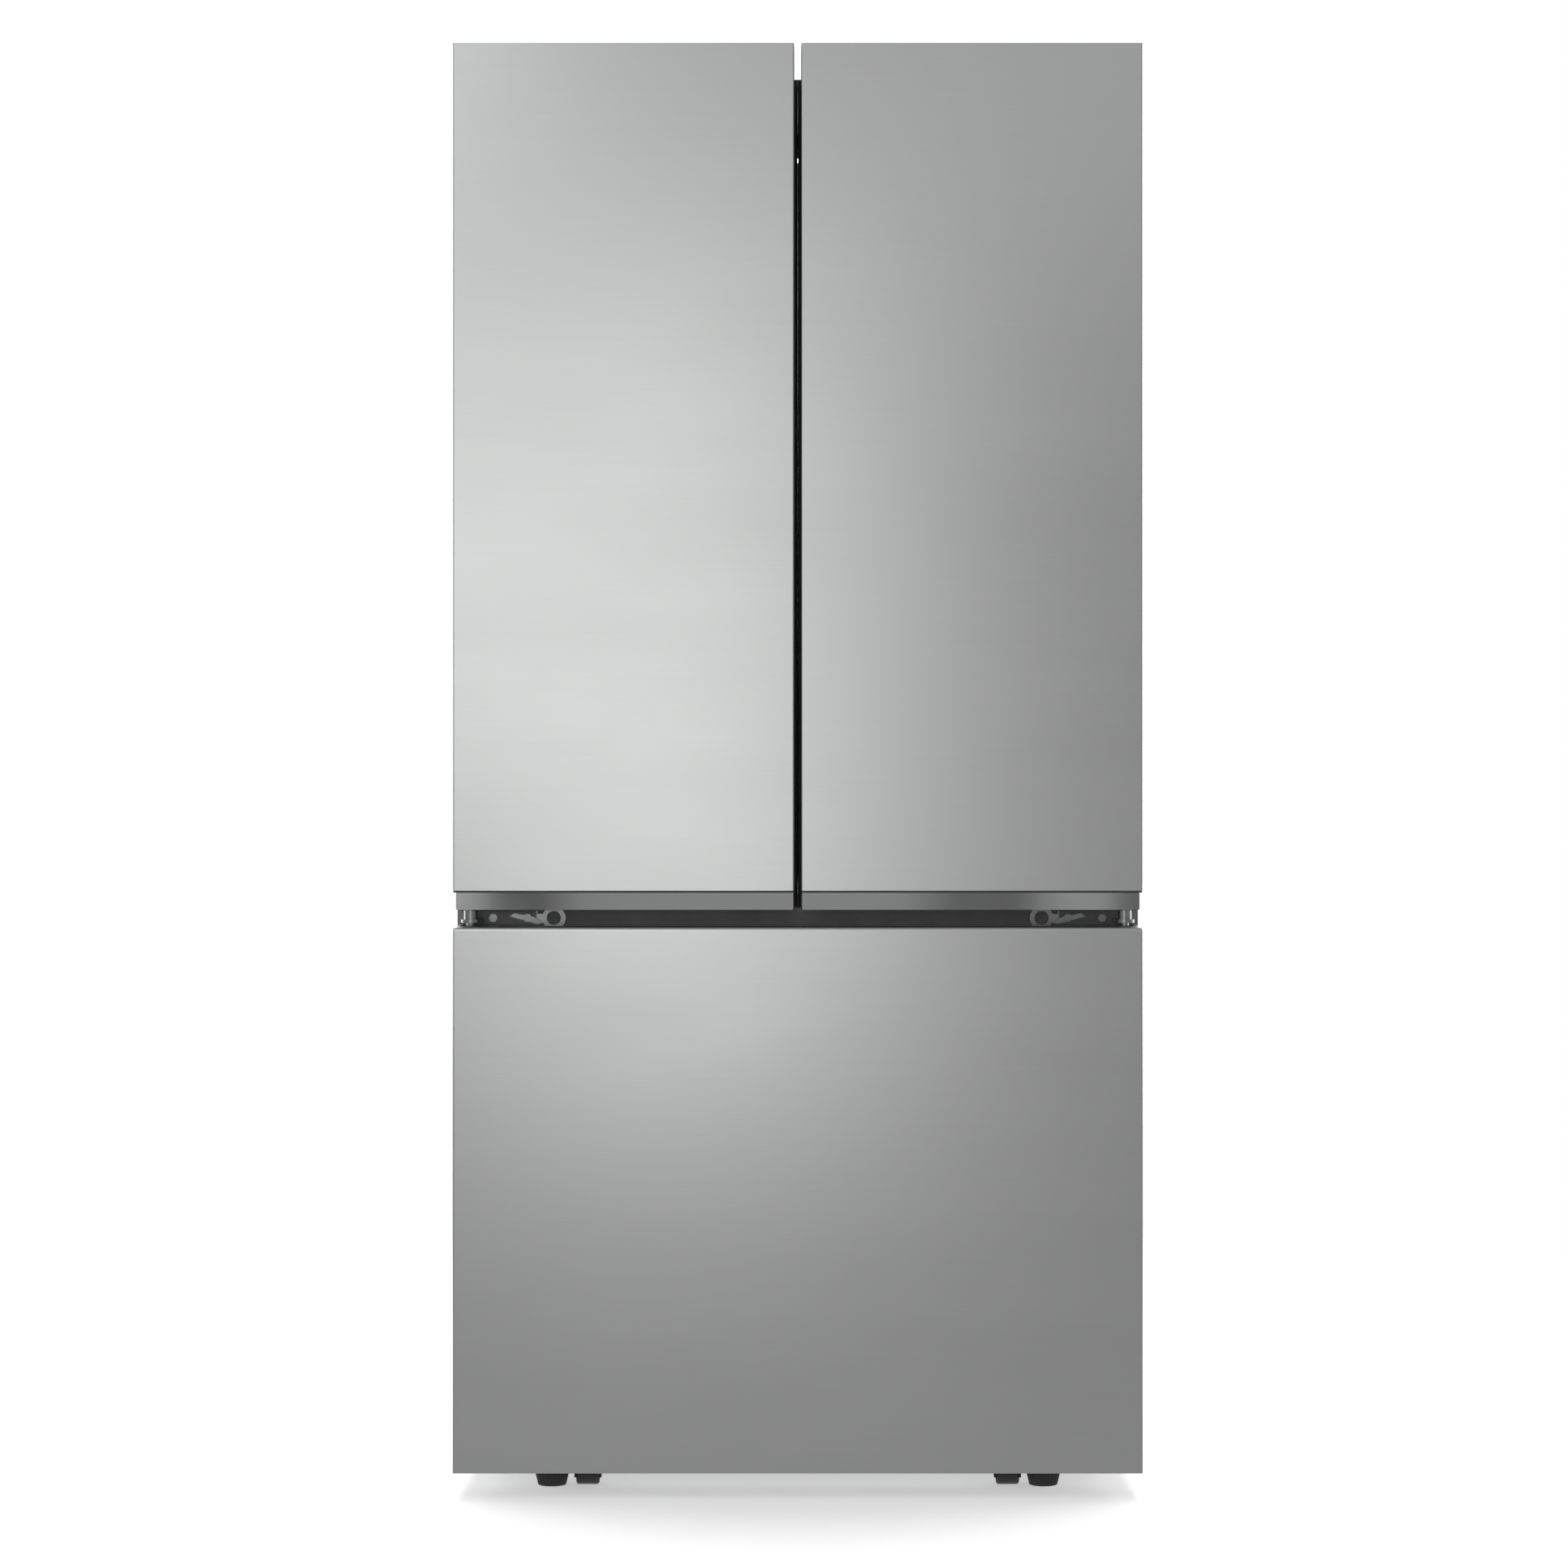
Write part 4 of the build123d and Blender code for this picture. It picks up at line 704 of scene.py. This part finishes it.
def crispers():
    """Produce drawers: tubs with a hooked pull lip, and vents behind the humidity slider."""
    for name, side in SIDES:
        node = f"{name}_crisper"
        low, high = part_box(f"{name}_crisper")
        front, lip_x = low.y + LIP_REACH, span(*LIP_X, side)
        parts = [
            tub((low.x, high.x), (front, high.y), low.z, high.z, 0.003, 0.009, 0.0),
            pad(lip_x, (low.y, front + 0.001), (0.850, 0.858), 0.0016, 0.0024),
            pad(lip_x, (low.y, low.y + 0.003), (0.835, 0.854), 0.0009, 0.0014),
        ]
        drawer = piece(f"{node}_moulded", parts, "frost_bin", node, [node])
        vents = []
        for step in range(VENT_COUNT):
            middle = side * VENT_MIDDLE + (step - (VENT_COUNT - 1) / 2) * VENT_STEP
            vent_low = (middle - VENT_WIDTH / 2, front - 0.001, VENT_Z[0])
            vent_high = (middle + VENT_WIDTH / 2, front + 0.004, VENT_Z[1])
            vents.append((vent_low, vent_high))
        carve(drawer, *vents)


THREAD_TURNS, THREAD_PITCH, THREAD_BASE = 14, 0.0024, 0.0275
CREST, ROOT = 0.005, 0.0042  # radii of the foot's thread
FLUTES, FLUTE_DEPTH = 24, 0.0011


def feet():
    """Levelling feet with a fluted grip and a threaded stem."""
    grip = [
        (0.0165, 0.0), (0.0175, 0.001), (0.0205, 0.014),
        (0.0222, 0.022), (0.0222, 0.025), (0.0212, 0.026),
    ]
    for name, _ in SIDES:
        node = f"{name}_foot"
        low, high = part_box(f"{name}_foot")
        x, y = (low.x + high.x) / 2, (low.y + high.y) / 2
        stem = [(0.0035, 0.026)]
        for turn in range(THREAD_TURNS):
            level = THREAD_BASE + THREAD_PITCH * turn
            stem += [(CREST, level), (ROOT, level + THREAD_PITCH / 2)]
        stem.append((0.004, high.z))
        parts = [turned(x, y, grip, 4 * FLUTES, FLUTES, FLUTE_DEPTH), turned(x, y, stem, ROUND_STEPS)]
        piece(f"{node}_fluted", parts, "black_plastic", node, [node])


SOFTENED = {  # CAD node and the width of its rounded edges, in metres
    "control_panel": 0.0008, "ceiling_light": 0.0008,
    "freezer_basket": 0.0007, "freezer_tray": 0.0006,
    "dairy_lid": 0.0006, "left_humidity_slider": 0.0004, "right_humidity_slider": 0.0004,
    "freezer_drawer_liner": 0.0006, "freezer_drawer_frame": 0.0005,
    "shelf_frames": 0.0005, "air_duct_covers": 0.0006, "freezer_liner": 0.0008,
    "mid_hinges": 0.0004, "top_hinges": 0.0004, "base_frame": 0.0004,
    "compressor": 0.0006, "drain_pan": 0.0005, "rear_cover": 0.0002, "cord_gland": 0.0005,
    "freezer_drawer_caps": 0.0005, "left_door_caps": 0.0004, "right_door_caps": 0.0004,
    "glass_shelves": 0.0004, "roller_brackets": 0.0003,
}


def detail():
    """Every finer piece, and the rounded edges of the CAD nodes that stay."""
    for name, side in SIDES:
        door_liner(name, side)
        door_bins(name)
    gaskets()
    drawer_edges()
    fridge_liner()
    crispers()
    feet()
    for node, width in SOFTENED.items():
        soften(node, width)


# ------------------------------------------------------------------ stage, light, camera
CAMERA_DISTANCE = 5.0  # from the door faces
CAMERA_HEIGHT = 0.880
CAMERA_SHIFT = (-0.00875, -0.00958)  # puts the object a little off the picture's centre
FRAME_WIDTH = 1.8895  # what the picture spans at the door faces
SENSOR = 36.0
WHITE = (1.0, 1.0, 1.0, 1.0)
WORLD_LOW, WORLD_HIGH = 0.66, 0.274  # light from below, and from level or above
WORLD_SLOPE = (-0.6, -0.12)  # directions, by their Z, between which it changes
FLOOR_REACH, FLOOR_FADE = 9.0, (1.1, 2.6)  # half its width, and where it turns clear
FLOOR_GLOW = 0.45
BOX_DISTANCE = 2.83  # from the door faces to the front soft boxes
MIDDLE = (0, 0, 0.9)  # what the soft boxes face
CARD_HEIGHT, CARD_TALL, TRIM_HEIGHT = 0.63, 0.5, 0.72
FRONT_BOXES = (  # name, x, height, size and power
    ("key", -1.0, 1.3, (0.8, 0.8), 2.87),
    ("key_high", -1.0, 2.4, (0.8, 0.8), 2.78),
    ("near_key", -0.4, 0.9, (0.8, 0.6), 0.55),
    ("middle", -0.2, 1.1, (0.6, 1.6), 3.31),
    ("middle_low", -0.3, 0.35, (0.9, 0.5), 0.55),
    ("high_middle", -0.7, 2.5, (1.6, 1.0), 1.07),
    ("high_right", 0.8, 2.3, (1.6, 1.0), 1.55),
)
ROOM_BOXES = (  # name, place, aim, size and power
    ("top", (0, 1.2, 3.6), (0, 0.4, 0), (4.0, 3.0), 150),
    ("left_side", (-3.4, 1.4, 1.6), MIDDLE, (2.4, 2.6), 60),
    ("right_side", (3.4, 1.4, 1.6), MIDDLE, (2.4, 2.6), 60),
    ("back", (0, 4.4, 1.8), MIDDLE, (4.0, 2.6), 45),
)
TRIM_CARDS = (  # middle, width and power of the cards that the handle trims mirror
    (-0.66, 0.12, 0.34),
    (-0.10, 0.70, 0.88),
    (0.25, 0.30, 0.10),
    (0.53, 0.14, 0.27),
)


def make_camera():
    data = bpy.data.cameras.new("camera")
    camera = bpy.data.objects.new("camera", data)
    bpy.context.scene.collection.objects.link(camera)
    data.sensor_width = SENSOR
    data.lens = SENSOR * CAMERA_DISTANCE / FRAME_WIDTH
    data.shift_x, data.shift_y = CAMERA_SHIFT
    camera.location = (CENTRE_X, FRONT_Y - CAMERA_DISTANCE, CAMERA_HEIGHT)
    camera.rotation_euler = (math.radians(90), 0, 0)
    bpy.context.scene.camera = camera


def softbox(name, place, aim, size, power):
    """A rectangular light that faces its aim."""
    data = bpy.data.lights.new(name, "AREA")
    data.shape = "RECTANGLE"
    data.size, data.size_y = size
    data.energy = power
    lamp = bpy.data.objects.new(name, data)
    bpy.context.scene.collection.objects.link(lamp)
    lamp.location = place
    direction = Vector(aim) - lamp.location
    lamp.rotation_euler = direction.to_track_quat("-Z", "Y").to_euler()
    return lamp


def make_world():
    """White to the camera, and a dimmer grey as light, brighter below where the floor would be."""
    world = bpy.data.worlds.new("studio")
    bpy.context.scene.world = world
    world.use_nodes = True
    tree = world.node_tree
    soft = tree.nodes["Background"]
    soft.inputs["Color"].default_value = WHITE
    place = tree.nodes.new("ShaderNodeTexCoord")
    apart = tree.nodes.new("ShaderNodeSeparateXYZ")
    slope = tree.nodes.new("ShaderNodeMapRange")
    settings = (*WORLD_SLOPE, WORLD_LOW, WORLD_HIGH)
    for socket, value in zip(("From Min", "From Max", "To Min", "To Max"), settings):
        slope.inputs[socket].default_value = value
    tree.links.new(place.outputs["Generated"], apart.inputs[0])
    tree.links.new(apart.outputs["Z"], slope.inputs["Value"])
    tree.links.new(slope.outputs["Result"], soft.inputs["Strength"])
    white = tree.nodes.new("ShaderNodeBackground")
    white.inputs["Color"].default_value = WHITE
    white.inputs["Strength"].default_value = 1.0
    seen = tree.nodes.new("ShaderNodeLightPath")
    mix = tree.nodes.new("ShaderNodeMixShader")
    tree.links.new(seen.outputs["Is Camera Ray"], mix.inputs["Fac"])
    tree.links.new(soft.outputs[0], mix.inputs[1])
    tree.links.new(white.outputs[0], mix.inputs[2])
    tree.links.new(mix.outputs[0], tree.nodes["World Output"].inputs["Surface"])


def make_floor():
    """White paper that fades into the white surroundings a few metres away."""
    mesh = bpy.data.meshes.new("floor")
    ways = ((-1, -1), (1, -1), (1, 1), (-1, 1))
    corners = [(x * FLOOR_REACH, y * FLOOR_REACH, 0) for x, y in ways]
    mesh.from_pydata(corners, [], [(0, 1, 2, 3)])
    floor = bpy.data.objects.new("floor", mesh)
    bpy.context.scene.collection.objects.link(floor)
    paper = Finish("floor_paper", (0.92, 0.92, 0.92), 0.9)
    paper.bump(paper.noise(120.0, detail=3.0), 0.05, 0.0005)
    paper.shader.inputs["Emission Color"].default_value = WHITE
    paper.shader.inputs["Emission Strength"].default_value = FLOOR_GLOW
    distance = paper.tree.nodes.new("ShaderNodeVectorMath")
    distance.operation = "LENGTH"
    paper.wire(paper.place, distance.inputs[0])
    fade = paper.remap(distance.outputs["Value"], 0.0, 1.0, FLOOR_FADE)
    clear = paper.tree.nodes.new("ShaderNodeBsdfTransparent")
    mix = paper.tree.nodes.new("ShaderNodeMixShader")
    paper.wire(fade, mix.inputs["Fac"])
    paper.wire(paper.shader.outputs[0], mix.inputs[1])
    paper.wire(clear.outputs[0], mix.inputs[2])
    paper.wire(mix.outputs[0], paper.tree.nodes["Material Output"].inputs["Surface"])
    mesh.materials.append(paper.material)
    floor.visible_glossy = False


def make_light():
    """Soft boxes in front shape the doors' highlight; the others light sides, top and back."""
    for name, x, z, size, power in FRONT_BOXES:
        lamp = softbox(name, (x, FRONT_Y - BOX_DISTANCE, z), MIDDLE, size, power)
        lamp.light_linking.receiver_collection = trims("skip_trims", "EXCLUDE")
    for name, place, aim, size, power in ROOM_BOXES:
        softbox(name, place, aim, size, power)


def trims(name, state):
    """A collection of the two handle trims, for a light to reach only, or to leave out."""
    found = bpy.data.collections.get(name)
    if found is None:
        found = bpy.data.collections.new(name)
        for side, _ in SIDES:
            found.objects.link(NODES[f"{side}_handle_trim"])
        for entry in found.collection_objects:
            entry.light_linking.link_state = state
    return found


def make_trim_cards():
    """Cards that only the two satin trims mirror, which draws their bands of light and dark."""
    for index, (x, width, power) in enumerate(TRIM_CARDS):
        place, aim = (x, FRONT_Y - BOX_DISTANCE, CARD_HEIGHT), (x, FRONT_Y, TRIM_HEIGHT)
        lamp = softbox(f"card_{index}", place, aim, (width, CARD_TALL), power)
        lamp.light_linking.receiver_collection = trims("only_trims", "INCLUDE")


def main():
    dress_cad_nodes()
    detail()
    make_camera()
    make_world()
    make_floor()
    make_light()
    make_trim_cards()
    bpy.context.scene.view_settings.view_transform = "Standard"


main()
